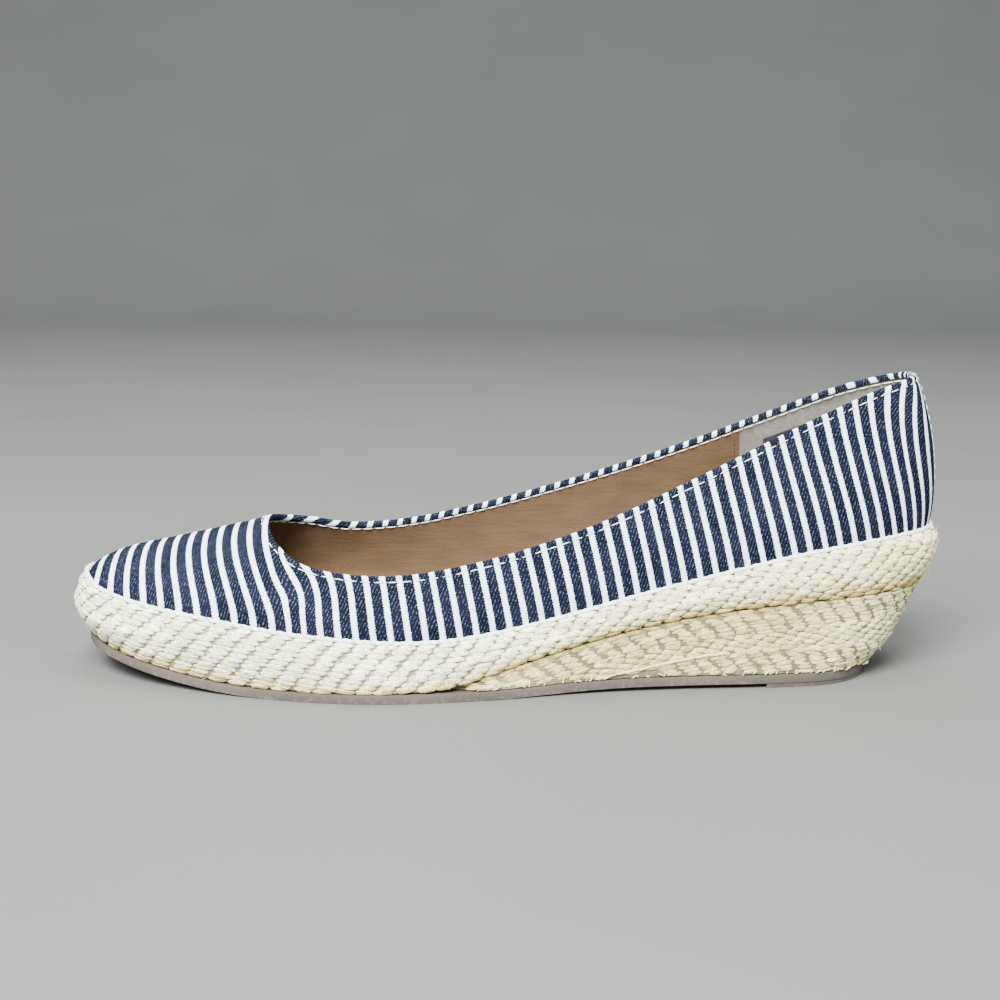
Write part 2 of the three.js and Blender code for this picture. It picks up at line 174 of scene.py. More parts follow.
foot_loop = closed_curve(
    [(f[0], -f[1], 0) for f, _, _, _ in SECTIONS],
    [(f[0], f[2], 0) for f, _, _, _ in SECTIONS],
)
top_loop = closed_curve(
    [(t[0], -t[1], t[3]) for _, t, _, _ in SECTIONS],
    [(t[0], t[2], t[4]) for _, t, _, _ in SECTIONS],
)
sole_loop = closed_curve(
    [(o[0], -o[1], 0) for _, _, o, _ in SECTIONS],
    [(o[0], o[2], 0) for _, _, o, _ in SECTIONS],
)
handles = closed_curve(
    [h for _, _, _, h in SECTIONS],
    [h for _, _, _, h in SECTIONS],
    centripetal=False,
)


def height(column, s):
    """A height of the HEIGHTS table, smooth from row to row."""
    knots, values = HEIGHTS[:, 0], HEIGHTS[:, column]
    slopes = np.empty_like(values)
    slopes[1:-1] = (values[2:] - values[:-2]) / (knots[2:] - knots[:-2])
    slopes[0] = (values[1] - values[0]) / (knots[1] - knots[0])
    slopes[-1] = (values[-1] - values[-2]) / (knots[-1] - knots[-2])
    s = np.clip(s, knots[0], knots[-1])
    k = np.clip(np.searchsorted(knots, s, side="right") - 1, 0, len(knots) - 2)
    span = knots[k + 1] - knots[k]
    t = (s - knots[k]) / span
    rise = t * t * (3 - 2 * t)
    bend = slopes[k] * span * t * (1 - t) ** 2 - slopes[k + 1] * span * t * t * (1 - t)
    return lerp(values[k], values[k + 1], rise) + bend


def ground(s):
    """Underside of the outsole: toe spring, the flat under the ball and the raised waist."""
    spring = np.clip((BALL_FRONT - s) / (BALL_FRONT - TOE_TIP), 0, None)
    return TOE_SPRING * spring ** TOE_SPRING_POWER + TREAD_LIFT * smoothstep(s, BALL_BACK, WAIST_FRONT)


def outwards(curve, row):
    """Plan directions away from the shoe, square to a curve round it."""
    along = curve(row + 1 / STEPS) - curve(row - 1 / STEPS)
    return unit(np.stack([along[..., 1], -along[..., 0], np.zeros(along.shape[:-1])], -1))


def offset(curve, distance):
    """The curve moved outwards in plan."""
    def at(row):
        row = np.asarray(row, float)
        return curve(row) + outwards(curve, row) * np.expand_dims(distance, -1)
    return at


def at_height(points, z):
    return np.stack([points[..., 0], points[..., 1], np.broadcast_to(z, points.shape[:-1])], -1)


def tape_top(row):
    return height(TAPE_TOP, foot_loop(row)[..., 0])


def footbed(row):
    return height(FOOTBED, foot_loop(row)[..., 0])


def jute_plane(row):
    return ground(sole_loop(row)[..., 0]) + OUTSOLE_THICKNESS + GAP


def foot_seam(row):
    return np.maximum(height(TAPE_FOOT, foot_loop(row)[..., 0]), jute_plane(row))


tape_outer = offset(foot_loop, GAP + BAND_THICKNESS)
sole_inset = offset(sole_loop, -OUTSOLE_PROUD)


def seam_outer(row):
    low = jute_plane(row)
    share = (foot_seam(row) - low) / (tape_top(row) - low)
    return lerp(tape_outer(row), sole_inset(row), ((1 - share) ** SEAM_PULL)[..., None])


def band_face(row):
    """Where the tape is fullest, with its toe swelling."""
    def chord(r):
        return lerp(seam_outer(r), tape_outer(r), BAND_FULL_OUT)
    toe = 1 - smoothstep(foot_loop(row)[..., 0], SECTIONS[0][0][0], TOE_BULGE_BACK)
    return offset(chord, BAND_BULGE + TOE_BULGE * toe)(row)


def upper_point(row, v):
    """Outer face of the upper: v runs from the tape's edge, 0, to the topline, 1."""
    foot = at_height(foot_loop(row), tape_top(row))
    top = top_loop(row)
    inwards = unit(at_height(top - foot, 0))
    rise, lean, drop, reach = np.moveaxis(handles(row), -1, 0)[..., None]
    up = np.array([0.0, 0.0, 1.0])
    low = foot + inwards * lean + up * rise
    high = top - inwards * reach - up * drop
    v = np.asarray(v, float)[..., None]
    w = 1 - v
    return w ** 3 * foot + 3 * w * w * v * low + 3 * w * v * v * high + v ** 3 * top


def upper_normal(row, v):
    """Direction out of the upper's face."""
    nearby, share = 1 / STEPS, 0.02
    along = upper_point(row + nearby, v) - upper_point(row - nearby, v)
    up = upper_point(row, np.minimum(v + share, 1)) - upper_point(row, np.maximum(v - share, 0))
    return unit(np.cross(along, up))


# The CAD frame sits over the middle of the shoe's box; the upper's own box says by how much.
_corner = foot_loop(np.arange(ROWS * STEPS) / STEPS).min(0) * MM - np.array(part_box("upper")[0])
SHIFT = np.array([_corner[0], _corner[1], 0.0])


def to_frame(points):
    """Millimetres of the last to metres of the frame."""
    return np.asarray(points) * MM - SHIFT


# ---- Sheets measured in millimetres ------------------------------------------------------------

class Sheet:
    """A surface that hangs from an edge round the shoe, measured along the edge and down from it."""

    STEP = 0.25

    def __init__(self, profile, columns=ROWS * STEPS * 4):
        """profile gives, for an array of rows, points (rows, profile points, 3) from the edge down."""
        self.rows = np.arange(columns + 1) * ROWS / columns
        points = profile(self.rows)
        self.along = walked_length(points[:, 0])
        steps = np.linalg.norm(np.diff(points, axis=1), axis=2)
        down = np.concatenate([np.zeros((len(points), 1)), np.cumsum(steps, 1)], 1)
        self.depth = down[:, -1]
        count = int(self.depth.max() / self.STEP) + 2
        places = np.arange(count) * self.STEP
        self.table = np.stack([
            np.stack([np.interp(places, down[c], points[c, :, k]) for k in range(3)], -1)
            for c in range(len(points))
        ])
        ahead = np.concatenate([self.table[1:], self.table[1:2]])
        behind = np.concatenate([self.table[-2:-1], self.table[:-1]])
        lower = np.concatenate([self.table[:, 1:], self.table[:, -1:]], 1)
        upper = np.concatenate([self.table[:, :1], self.table[:, :-1]], 1)
        normal = np.cross(ahead - behind, upper - lower)
        size = np.linalg.norm(normal, axis=-1, keepdims=True)
        normal = np.where(size > TINY, unit(normal), 0)
        for k in range(1, count):  # below a short column's end the last normal goes on
            flat = size[:, k, 0] < TINY
            normal[flat, k] = normal[flat, k - 1]
        self.normals = normal

    @property
    def length(self):
        return self.along[-1]

    def column(self, a):
        return np.interp(np.mod(a, self.length), self.along, np.arange(len(self.along)))

    def row(self, a):
        return np.interp(np.mod(a, self.length), self.along, self.rows)

    def edge(self, row):
        """Distance along the edge at a row."""
        return np.interp(row, self.rows, self.along)

    def room(self, a):
        """How far down the sheet reaches."""
        return np.interp(np.mod(a, self.length), self.along, self.depth)

    def _pick(self, table, a, w):
        """A table's value between its four nearest entries."""
        last = table.shape[1] - 1
        column = self.column(a)
        step = np.clip(w / self.STEP, 0, last - MM)
        c = np.minimum(column.astype(int), len(self.along) - 2)
        k = step.astype(int)
        past_c, past_k = (column - c)[..., None], (step - k)[..., None]
        near = lerp(table[c, k], table[c, k + 1], past_k)
        far = lerp(table[c + 1, k], table[c + 1, k + 1], past_k)
        return lerp(near, far, past_c)

    def point(self, a, w, h=0.0):
        """The point a along, w down and h out from the surface."""
        a, w, h = np.broadcast_arrays(np.asarray(a, float), w, h)
        return self._pick(self.table, a, w) + unit(self._pick(self.normals, a, w)) * h[..., None]


def smooth_profile(points, pieces=8):
    """A smooth line through profile points (rows, points, 3), ends included."""
    first, last = 2 * points[:, :1] - points[:, 1:2], 2 * points[:, -1:] - points[:, -2:-1]
    p = np.concatenate([first, points, last], 1)
    out = []
    for k in range(1, p.shape[1] - 2):
        p0, p1, p2, p3 = p[:, k - 1], p[:, k], p[:, k + 1], p[:, k + 2]
        for t in np.arange(pieces) / pieces:
            out.append(0.5 * (2 * p1 + (p2 - p0) * t + (2 * p0 - 5 * p1 + 4 * p2 - p3) * t ** 2
                              + (3 * p1 - p0 - 3 * p2 + p3) * t ** 3))
    out.append(points[:, -1])
    return np.stack(out, 1)


def tape_profile(rows):
    """The tape's face from its top edge down to its foot, where it turns in."""
    top, foot = tape_top(rows), foot_seam(rows)
    return smooth_profile(np.stack([
        at_height(offset(foot_loop, GAP)(rows), top),
        at_height(offset(tape_outer, -BAND_LIP)(rows), top - BAND_LIP_DROP),
        at_height(tape_outer(rows), top - BAND_SHOULDER),
        at_height(band_face(rows), lerp(foot, top, BAND_FULL_HEIGHT)),
        at_height(seam_outer(rows), foot + BAND_HEM),
        at_height(offset(seam_outer, -TUCK)(rows), foot),
    ], 1))


def wedge_ledge(rows):
    """Height of the wedge's upper edge, just under the tape."""
    return np.maximum(foot_seam(rows) - GAP, jute_plane(rows) + WEDGE_MIN)


def wedge_profile(rows):
    """The wedge's face from under the tape down to the outsole."""
    def swollen(points, share):
        heel = smoothstep(foot_loop(rows)[..., 0], BELLY_FRONT, SECTIONS[-1][0][0])
        return points + np.stack([WEDGE_BELLY * share * heel, 0 * heel, 0 * heel], -1)
    low, high = jute_plane(rows), wedge_ledge(rows)
    belly = lerp(sole_inset(rows), seam_outer(rows), WEDGE_BELLY_HEIGHT)
    fade = smoothstep(foot_loop(rows)[..., 0], WEDGE_FADE_FRONT, WEDGE_FADE_BACK)[:, None, None]
    face = np.stack([
        at_height(offset(seam_outer, -GAP)(rows), high),
        at_height(swollen(belly, 1), lerp(low, high, WEDGE_BELLY_HEIGHT)),
        at_height(swollen(sole_inset(rows), WEDGE_FOOT_SWELL), low),
    ], 1)
    buried = at_height(offset(seam_outer, -2 * BAND_THICKNESS)(rows), 0)[:, None]
    plan = lerp(np.broadcast_to(buried, face.shape), face, fade)
    return np.concatenate([plan[..., :2], face[..., 2:]], -1)


CANVAS_POINTS = 49  # on the profile of the canvas


def canvas_profile(rows):
    """The canvas from the topline down to the tape's edge."""
    shares = np.linspace(1, 0, CANVAS_POINTS)
    return upper_point(rows[:, None], shares[None, :])



# ---- Mesh helpers ------------------------------------------------------------------------------

def deselect():
    if bpy.context.object and bpy.context.object.mode != "OBJECT":
        bpy.ops.object.mode_set(mode="OBJECT")
    bpy.ops.object.select_all(action="DESELECT")


def edit(action):
    """Runs mesh operators on the whole of the active object."""
    bpy.ops.object.mode_set(mode="EDIT")
    bpy.ops.mesh.select_all(action="SELECT")
    action()
    bpy.ops.object.mode_set(mode="OBJECT")


def close_up(piece):
    """Merges meeting points, drops flat faces and turns the normals outwards."""
    def action():
        bpy.ops.mesh.remove_doubles(threshold=MERGE_DISTANCE)
        bpy.ops.mesh.dissolve_degenerate(threshold=MERGE_DISTANCE)
        bpy.ops.mesh.normals_make_consistent(inside=False)
    bpy.context.view_layer.objects.active = piece
    edit(action)


def read_points(mesh):
    flat = np.empty(len(mesh.vertices) * 3)
    mesh.vertices.foreach_get("co", flat)
    return flat.reshape(-1, 3)


def write_map(mesh, layer, uvs):
    """Gives each corner of the faces the map place of its vertex."""
    corners = np.empty(len(mesh.loops), np.int32)
    mesh.loops.foreach_get("vertex_index", corners)
    layer.data.foreach_set("uv", uvs[corners].astype(np.float32).ravel())


def grid_piece(name, columns, rows, place, uv=None):
    """A grid of faces, bent to its shape: place and uv take shares across and up, from 0 to 1."""
    deselect()
    bpy.ops.mesh.primitive_grid_add(x_subdivisions=columns, y_subdivisions=rows, size=2)
    piece = bpy.context.object
    piece.name = piece.data.name = name
    mesh = piece.data
    shares = (read_points(mesh)[:, :2] + 1) / 2
    shares = np.clip(np.round(shares * [columns, rows]) / [columns, rows], 0, 1)
    points = to_frame(place(shares[:, 0], shares[:, 1]))
    mesh.vertices.foreach_set("co", points.astype(np.float32).ravel())
    if uv is not None:
        layer = mesh.uv_layers[0]
        layer.name = MAP_NAME
        write_map(mesh, layer, uv(shares[:, 0], shares[:, 1]))
    mesh.update()
    return piece


def add_modifier(piece, kind, **settings):
    """Adds a modifier and applies it."""
    deselect()
    piece.select_set(True)
    bpy.context.view_layer.objects.active = piece
    modifier = piece.modifiers.new(kind.title(), kind)
    for name, value in settings.items():
        setattr(modifier, name, value)
    bpy.ops.object.modifier_apply(modifier=modifier.name)


def shade(piece, degrees=50):
    deselect()
    piece.select_set(True)
    bpy.context.view_layer.objects.active = piece
    bpy.ops.object.shade_smooth_by_angle(angle=math.radians(degrees))


def yarn_template(segments, rings):
    """One plump yarn that lies along x from -1 to 1: its points and its faces."""
    deselect()
    bpy.ops.mesh.primitive_uv_sphere_add(segments=segments, ring_count=rings, radius=1)
    ball = bpy.context.object
    points = read_points(ball.data)[:, [2, 0, 1]]
    faces = [tuple(face.vertices) for face in ball.data.polygons]
    bpy.data.objects.remove(ball)
    return points, faces


def repeated_piece(name, copies, faces, values, uvs):
    """One mesh from many placed copies (copies, points, 3) of the same faces, with their attributes."""
    count, size = copies.shape[:2]
    points = to_frame(copies.reshape(-1, 3))
    polygons = [tuple(v + k * size for v in face) for k in range(count) for face in faces]
    mesh = bpy.data.meshes.new(name)
    mesh.from_pydata(points.tolist(), [], polygons)
    piece = bpy.data.objects.new(name, mesh)
    bpy.context.scene.collection.objects.link(piece)
    for label, value in values.items():
        each = value if np.ndim(value) == 2 else np.reshape(value, (-1, 1))
        add_attribute(piece, label, np.broadcast_to(each, (count, size)).ravel())
    write_map(mesh, mesh.uv_layers.new(name=MAP_NAME), uvs.reshape(-1, 2))
    mesh.polygons.foreach_set("use_smooth", np.ones(len(mesh.polygons), bool))
    mesh.update()
    return piece


def add_attribute(piece, name, values):
    """Gives each point of a piece a number that its finish reads."""
    attribute = piece.data.attributes.new(name, "FLOAT", "POINT")
    values = np.broadcast_to(values, len(piece.data.vertices))
    attribute.data.foreach_set("value", values.astype(np.float32))


YARN_SQUARING = 0.4  # a yarn keeps its thickness nearly to its ends
YARN_BLUNT = 0.7
YARN_TAPER = 0.2  # narrower by this share at its very ends
YARN_ARCH = 2.4  # its ends sink by this times its bow and half its lift
YARN_SWAY = 0.05  # how much its ends stray sideways
SWAY_REACH = 1.4
ROUGH_ACROSS, ROUGH_ALONG, ROUGH_OUT = 0.05, 0.025, 0.035  # unevenness of its surface
MAP_STEP = 7.3  # keeps the maps of neighbouring yarns apart
MAP_TURNS = 3


def lay_yarns(sheet, template, a, w, length, width, lift, tilt, bow, rng=None):
    """Copies of a yarn on a sheet, centred at a and w, each turned by tilt and arched by bow.

    Gives their points, their maps and how far down the sheet each point lies."""
    count = len(w)
    a, w, length, width, lift, tilt = (
        np.broadcast_to(each, count)[:, None] for each in (a, w, length, width, lift, tilt)
    )
    x, y, z = template.T
    fuller = np.maximum(np.hypot(y, z), TINY) ** -YARN_SQUARING
    y, z = y * fuller, z * fuller
    along = np.sign(x) * np.abs(x) ** YARN_BLUNT * (length / 2)
    across = y * (width / 2) * (1 - YARN_TAPER * x ** 4)
    if rng is not None:
        bend, curl, _ = rng.normal(0, YARN_SWAY, (count, 3)).T[..., None]
        across = across + width * SWAY_REACH * (bend * x ** 2 + curl * x ** 3)
        across = across * (1 + rng.normal(0, ROUGH_ACROSS, across.shape))
        along = along * (1 + rng.normal(0, ROUGH_ALONG, along.shape))
    forward = along * np.cos(tilt) - across * np.sin(tilt)
    up = along * np.sin(tilt) + across * np.cos(tilt)
    out = z * (lift / 2) + lift / 2 * (1 - bow * YARN_ARCH * x ** 2)
    if rng is not None:
        out = out + rng.normal(0, ROUGH_OUT, out.shape)
    round_share = np.broadcast_to(np.arctan2(z, y) / (2 * math.pi), along.shape)
    uvs = np.stack([along + a * MAP_STEP, round_share * MAP_TURNS], -1)
    return sheet.point(a + forward, w - up, out), uvs, w - up


# ---- Finishes ----------------------------------------------------------------------------------

class Finish:
    """One node material, built a node at a time."""

    def __init__(self, name, roughness, specular=0.3, sheen=0.0):
        self.material = bpy.data.materials.new(name)
        self.material.use_nodes = True
        self.tree = self.material.node_tree
        self.shader = self.tree.nodes["Principled BSDF"]
        self.shader.inputs["Roughness"].default_value = roughness
        self.shader.inputs["Specular IOR Level"].default_value = specular
        self.shader.inputs["Sheen Weight"].default_value = sheen

    def add(self, kind, inputs, output=0, **settings):
        node = self.tree.nodes.new(kind)
        for name, value in settings.items():
            setattr(node, name, value)
        for key, value in inputs.items():
            if isinstance(value, bpy.types.NodeSocket):
                self.tree.links.new(value, node.inputs[key])
            else:
                node.inputs[key].default_value = value
        return node.outputs[output]

    def math(self, operation, *values):
        return self.add("ShaderNodeMath", dict(enumerate(values)), operation=operation)

    def uv(self, name="cloth"):
        return self.add("ShaderNodeUVMap", {}, uv_map=name)

    def place(self):
        return self.add("ShaderNodeTexCoord", {}, output="Object")

    def split(self, vector):
        node = self.tree.nodes.new("ShaderNodeSeparateXYZ")
        self.tree.links.new(vector, node.inputs[0])
        return node.outputs[0], node.outputs[1], node.outputs[2]

    def join(self, x, y, z=0.0):
        return self.add("ShaderNodeCombineXYZ", {0: x, 1: y, 2: z})

    def noise(self, vector, scale, detail=2.0, roughness=0.5):
        return self.add("ShaderNodeTexNoise", {
            "Vector": vector, "Scale": scale, "Detail": detail, "Roughness": roughness,
        })

    def ramp(self, value, low, high, to_low=0.0, to_high=1.0):
        """A soft step from to_low to to_high as value passes from low to high."""
        return self.add("ShaderNodeMapRange", {
            "Value": value, "From Min": low, "From Max": high, "To Min": to_low, "To Max": to_high,
        }, interpolation_type="SMOOTHSTEP")

    def attribute(self, name):
        return self.add("ShaderNodeAttribute", {}, output="Fac", attribute_name=name)

    def times(self, a, b):
        return self.math("MULTIPLY", a, b)

    def plus(self, a, b):
        return self.math("ADD", a, b)

    def over(self, a, b):
        return self.math("DIVIDE", a, b)

    def there_and_back(self, value):
        """Runs from 0 to 0.5 and back each time value grows by 1."""
        return self.math("PINGPONG", value, 0.5)

    def mix(self, factor, a, b, blend="MIX"):
        node = self.tree.nodes.new("ShaderNodeMix")
        node.data_type = "RGBA"
        node.blend_type = blend
        for socket, value in ((node.inputs[0], factor), (node.inputs[6], a), (node.inputs[7], b)):
            if isinstance(value, bpy.types.NodeSocket):
                self.tree.links.new(value, socket)
            else:
                socket.default_value = value if isinstance(value, float) else tuple(value)
        return node.outputs[2]

    def lit(self, colour, light):
        """The colour made darker or lighter by a factor."""
        grey = self.add("ShaderNodeCombineColor", {0: light, 1: light, 2: light})
        return self.mix(1.0, colour, grey, "MULTIPLY")

    def done(self, colour, bump=None, depth=0.0002, strength=0.6, roughness=None):
        self.tree.links.new(colour, self.shader.inputs["Base Color"])
        if roughness is not None:
            self.tree.links.new(roughness, self.shader.inputs["Roughness"])
        if bump is not None:
            normal = self.add("ShaderNodeBump", {"Height": bump, "Strength": strength, "Distance": depth})
            self.tree.links.new(normal, self.shader.inputs["Normal"])
        return self.material


MOST = (0.3, 0.7)  # nearly all of a noise lies between these
HALF = (0.35, 0.65)  # and the larger part of it between these

WEFT_PITCH = 0.75  # millimetres between the weft threads, which notch the stripes' edges
NOTCH_WEFT, NOTCH_STRAY = 0.45, 0.55  # how deep threads and stray fibres notch them
EDGE_ROOM = 0.5  # taken off a white stripe's half width for its notches
EDGE_SOFTNESS = 0.07
TWILL_LEAN = math.radians(60)
TWILL_PITCH = 0.82  # millimetres between the twill's lines
TWILL_DASH = 1.4  # and along a line between its dashes of pale weft
WEFT_COLOURS = ((0.10, 0.112, 0.152, 1), (0.094, 0.127, 0.152, 1))
STRIPE_SHADE = (0.66, 0.80, 0.84, 1)


def canvas_finish(look):
    """Navy and white striped twill: its map is in millimetres across the stripes and along them."""
    f = Finish("striped_canvas", roughness=0.9, specular=0.0)
    across, along, _ = f.split(f.uv())

    pitch = look.stripe_pitch / MM
    weft = f.there_and_back(f.over(along, WEFT_PITCH))
    stray = f.noise(f.join(f.times(across, 0.9), f.times(along, 1.3)), scale=1.0, detail=3.0)
    notch = f.plus(f.times(weft, NOTCH_WEFT), f.times(stray, NOTCH_STRAY))
    from_white = f.math("SUBTRACT", f.times(f.there_and_back(f.over(across, pitch)), pitch), notch)
    half = look.stripe_white / MM / 2 - EDGE_ROOM
    navy = f.ramp(from_white, half - EDGE_SOFTNESS, half + EDGE_SOFTNESS)

    # The twill's lines lean, and the pale weft shows as dashes along them.
    slope, stretch = math.tan(TWILL_LEAN), 1 / math.cos(TWILL_LEAN)
    line_place = f.over(f.math("SUBTRACT", along, f.times(across, slope)), stretch * TWILL_PITCH)
    dash_place = f.over(f.plus(f.times(along, slope), across), stretch * TWILL_DASH)
    line = f.ramp(f.there_and_back(line_place), 0.22, 0.46)
    dash = f.noise(f.join(f.times(line_place, 1.4), dash_place), scale=1.9, detail=1.0)
    slub = f.noise(f.join(f.times(across, 2.6), f.times(along, 0.45)), scale=1.0, detail=2.0)
    fleck = f.times(line, f.ramp(dash, 0.44, 0.64))
    fleck = f.times(fleck, f.ramp(slub, 0.36, 0.62, to_low=0.35, to_high=1.15))
    fibre = f.noise(f.join(across, along), scale=3.2, detail=3.0, roughness=0.65)

    cloud = f.noise(f.join(across, along), scale=0.09, detail=3.0)
    deep = f.mix(f.ramp(cloud, 0.38, 0.62), look.navy_dark, look.navy_light)
    pale = f.mix(f.ramp(cloud, *HALF), *WEFT_COLOURS)
    weave = f.mix(f.times(fleck, 0.8), deep, pale)
    white = f.mix(f.ramp(fibre, *MOST), look.stripe_colour, STRIPE_SHADE)
    bump = f.plus(f.times(line, 0.7), f.times(fibre, 0.6))
    return f.done(f.mix(navy, white, weave), bump, depth=0.00018, strength=0.7)


def jute_finish(name, look, light, flax):
    """Bleached jute yarn: age takes it from white to straw and on to stain, partly painted shade at the
    tape's foot and under the tape, and each yarn has its own tone; light scales it, below 1 as painted shade
    and above 1 as painted light.
    """
    f = Finish(name, roughness=0.9, specular=0.0)
    along, round_, _ = f.split(f.uv())
    age_and_shade, tone = f.attribute("age_and_shade"), f.attribute("tone")
    strands = f.join(f.times(along, 0.55), f.times(round_, 1.6), tone)
    streak = f.noise(strands, scale=1.6, detail=4.0, roughness=0.65)
    straw = f.noise(f.place(), scale=260.0, detail=3.0, roughness=0.6)
    colour = f.mix(age_and_shade, look.jute_white, look.jute_straw)
    # Past an age of 0.75 it turns to stain; at the tape's foot and just under the tape that darkening is
    # painted shade.
    colour = f.mix(f.times(f.ramp(age_and_shade, 0.75, 1.3), 0.8), colour, look.jute_stain_and_shade)
    colour = f.mix(f.times(f.ramp(straw, 0.55, 0.8), flax), colour, look.jute_stain_and_shade)
    streaked = f.ramp(streak, *MOST, to_low=0.52, to_high=1.2)
    toned = f.ramp(tone, 0.0, 1.0, to_low=0.82, to_high=1.1)
    # light scales the colour: below 1 painted shade (0.36 on the tape's ground, 0.9 on the wedge), above 1
    # painted light.
    colour = f.lit(colour, f.times(f.times(streaked, toned), light))
    return f.done(colour, streak, depth=0.0008, strength=0.8)


# Dark olive jute ground: its own colour darkened as painted shade in the gaps between the yarns.
WEDGE_GROUND_SHADED_COLOURS = ((0.165, 0.155, 0.08, 1), (0.22, 0.205, 0.115, 1))


def wedge_ground_finish():
    """Jute ground seen between the yarns of the wedge, on Object coordinates, its colour darkened as painted
    shade in the gaps.
    """
    f = Finish("wedge_ground", roughness=0.95, specular=0.1)
    x, y, z = f.split(f.place())
    threads = f.join(f.times(x, 0.4), f.times(y, 0.4), z)
    fine = f.noise(threads, scale=1400.0, detail=3.0, roughness=0.6)
    cloud = f.noise(f.place(), scale=90.0, detail=3.0)
    colour = f.mix(f.ramp(cloud, *HALF), *WEDGE_GROUND_SHADED_COLOURS)
    colour = f.lit(colour, f.ramp(fine, *MOST, to_low=0.6, to_high=1.1))
    return f.done(colour, fine, depth=0.0003, strength=0.7)


LINING_WORN = (0.10, 0.058, 0.028, 1)
SOCK_WORN = (0.11, 0.066, 0.034, 1)
BROWN_THREAD_COLOURS = ((0.13, 0.075, 0.035, 1), (0.1, 0.06, 0.03, 1))


def leather_finish(name, base, worn):
    """Soft lining leather with fine wrinkles."""
    f = Finish(name, roughness=0.62, specular=0.35)
    x, y, z = f.split(f.place())
    pores = f.noise(f.place(), scale=1500.0, detail=3.0, roughness=0.6)
    stretched = f.join(f.times(x, 0.35), y, f.times(z, 1.4))
    wrinkle = f.noise(stretched, scale=190.0, detail=4.0, roughness=0.6)
    cloud = f.noise(f.place(), scale=30.0, detail=3.0)
    colour = f.mix(f.ramp(cloud, 0.35, 0.68), base, worn)
    # Darker in the wrinkles' hollows and lighter on their ridges: painted shade and painted light.
    colour = f.lit(colour, f.ramp(wrinkle, *MOST, to_low=0.86, to_high=1.05))
    bump = f.plus(wrinkle, f.times(pores, 0.25))
    polish = f.ramp(wrinkle, *MOST, to_low=0.7, to_high=0.55)
    return f.done(colour, bump, depth=0.0006, strength=0.5, roughness=polish)


SUEDE_BRUSHED = (0.155, 0.14, 0.12, 1)


def suede_finish(look):
    """Grey suede of the heel grip, with a brushed nap."""
    f = Finish("heel_suede", roughness=0.95, specular=0.1, sheen=0.4)
    nap = f.noise(f.place(), scale=900.0, detail=4.0, roughness=0.7)
    brushed = f.noise(f.place(), scale=70.0, detail=3.0)
    colour = f.mix(f.ramp(brushed, *HALF), look.suede_colour, SUEDE_BRUSHED)
    colour = f.lit(colour, f.ramp(nap, *MOST, to_low=0.8, to_high=1.1))
    return f.done(colour, nap, depth=0.0002, strength=0.6)


# Painted shade in the grooves of the thread's twist.
THREAD_TWIST_SHADE = (0.66, 0.70, 0.70, 1)
TWIST_ALONG, TWIST_ROUND = 7.0, 12.6  # angle of the twist for each unit of its map


def thread_finish(look):
    """White cotton thread, twisted, its map along it and round it, with painted shade in the twist's
    grooves.
    """
    f = Finish("white_thread", roughness=0.75, specular=0.2, sheen=0.2)
    along, round_, _ = f.split(f.uv())
    twist = f.math("SINE", f.plus(f.times(along, TWIST_ALONG), f.times(round_, TWIST_ROUND)))
    fuzz = f.noise(f.place(), scale=1800.0, detail=2.0)
    colour = f.mix(f.ramp(twist, -1.0, 1.0), THREAD_TWIST_SHADE, look.thread_colour)
    colour = f.lit(colour, f.ramp(fuzz, *MOST, to_low=0.92, to_high=1.04))
    return f.done(colour, twist, depth=0.0001, strength=0.5)


RUBBER_CLOUDED = (0.088, 0.077, 0.06, 1)
RUBBER_WORN = (0.16, 0.14, 0.11, 1)


def rubber_finish(look):
    """Taupe rubber, paler where the edge has worn."""
    f = Finish("outsole_rubber", roughness=0.7, specular=0.3)
    speck = f.noise(f.place(), scale=700.0, detail=3.0, roughness=0.6)
    cloud = f.noise(f.place(), scale=25.0, detail=2.0)
    colour = f.mix(f.ramp(cloud, *MOST), look.rubber_colour, RUBBER_CLOUDED)
    worn = f.times(f.attribute("worn"), f.ramp(speck, 0.5, 0.62, to_low=0.0, to_high=0.5))
    colour = f.mix(worn, colour, RUBBER_WORN)
    colour = f.lit(colour, f.ramp(speck, *MOST, to_low=0.97, to_high=1.02))
    polish = f.ramp(cloud, *MOST, to_low=0.62, to_high=0.8)
    return f.done(colour, speck, depth=0.0002, strength=0.4, roughness=polish)


# The satin's black, and a lighter painted sheen that follows its ribs.
TAB_DARK_AND_SHEEN = ((0.012, 0.012, 0.014, 1), (0.03, 0.03, 0.033, 1))


def tab_finish():
    """Black woven satin of the blank size tab, with a painted sheen on its ribs."""
    f = Finish("size_tab", roughness=0.6, specular=0.4)
    rib = f.noise(f.place(), scale=2200.0, detail=2.0)
    return f.done(f.mix(f.ramp(rib, *MOST), *TAB_DARK_AND_SHEEN), rib, depth=0.0001)


FLOOR_DIMMED = 0.94  # share of the floor's colour in its clouds


def floor_finish(look):
    """Floor with faint clouds."""
    f = Finish("studio_floor", roughness=0.8, specular=0.2)
    cloud = f.noise(f.place(), scale=6.0, detail=3.0)
    dimmed = tuple(FLOOR_DIMMED * channel for channel in look.floor_colour[:3]) + (1,)
    return f.done(f.mix(f.ramp(cloud, *MOST), look.floor_colour, dimmed))


# ---- Settings ----------------------------------------------------------------------------------

def length_setting(name, description, millimetres):
    return bpy.props.FloatProperty(
        name=name, description=description, default=millimetres * MM, min=0.0, precision=5,
        unit="LENGTH", subtype="DISTANCE",
    )


def colour_setting(name, description, *rgb):
    return bpy.props.FloatVectorProperty(
        name=name, description=description, default=(*rgb, 1.0), size=4, min=0.0, max=1.0,
        subtype="COLOR",
    )


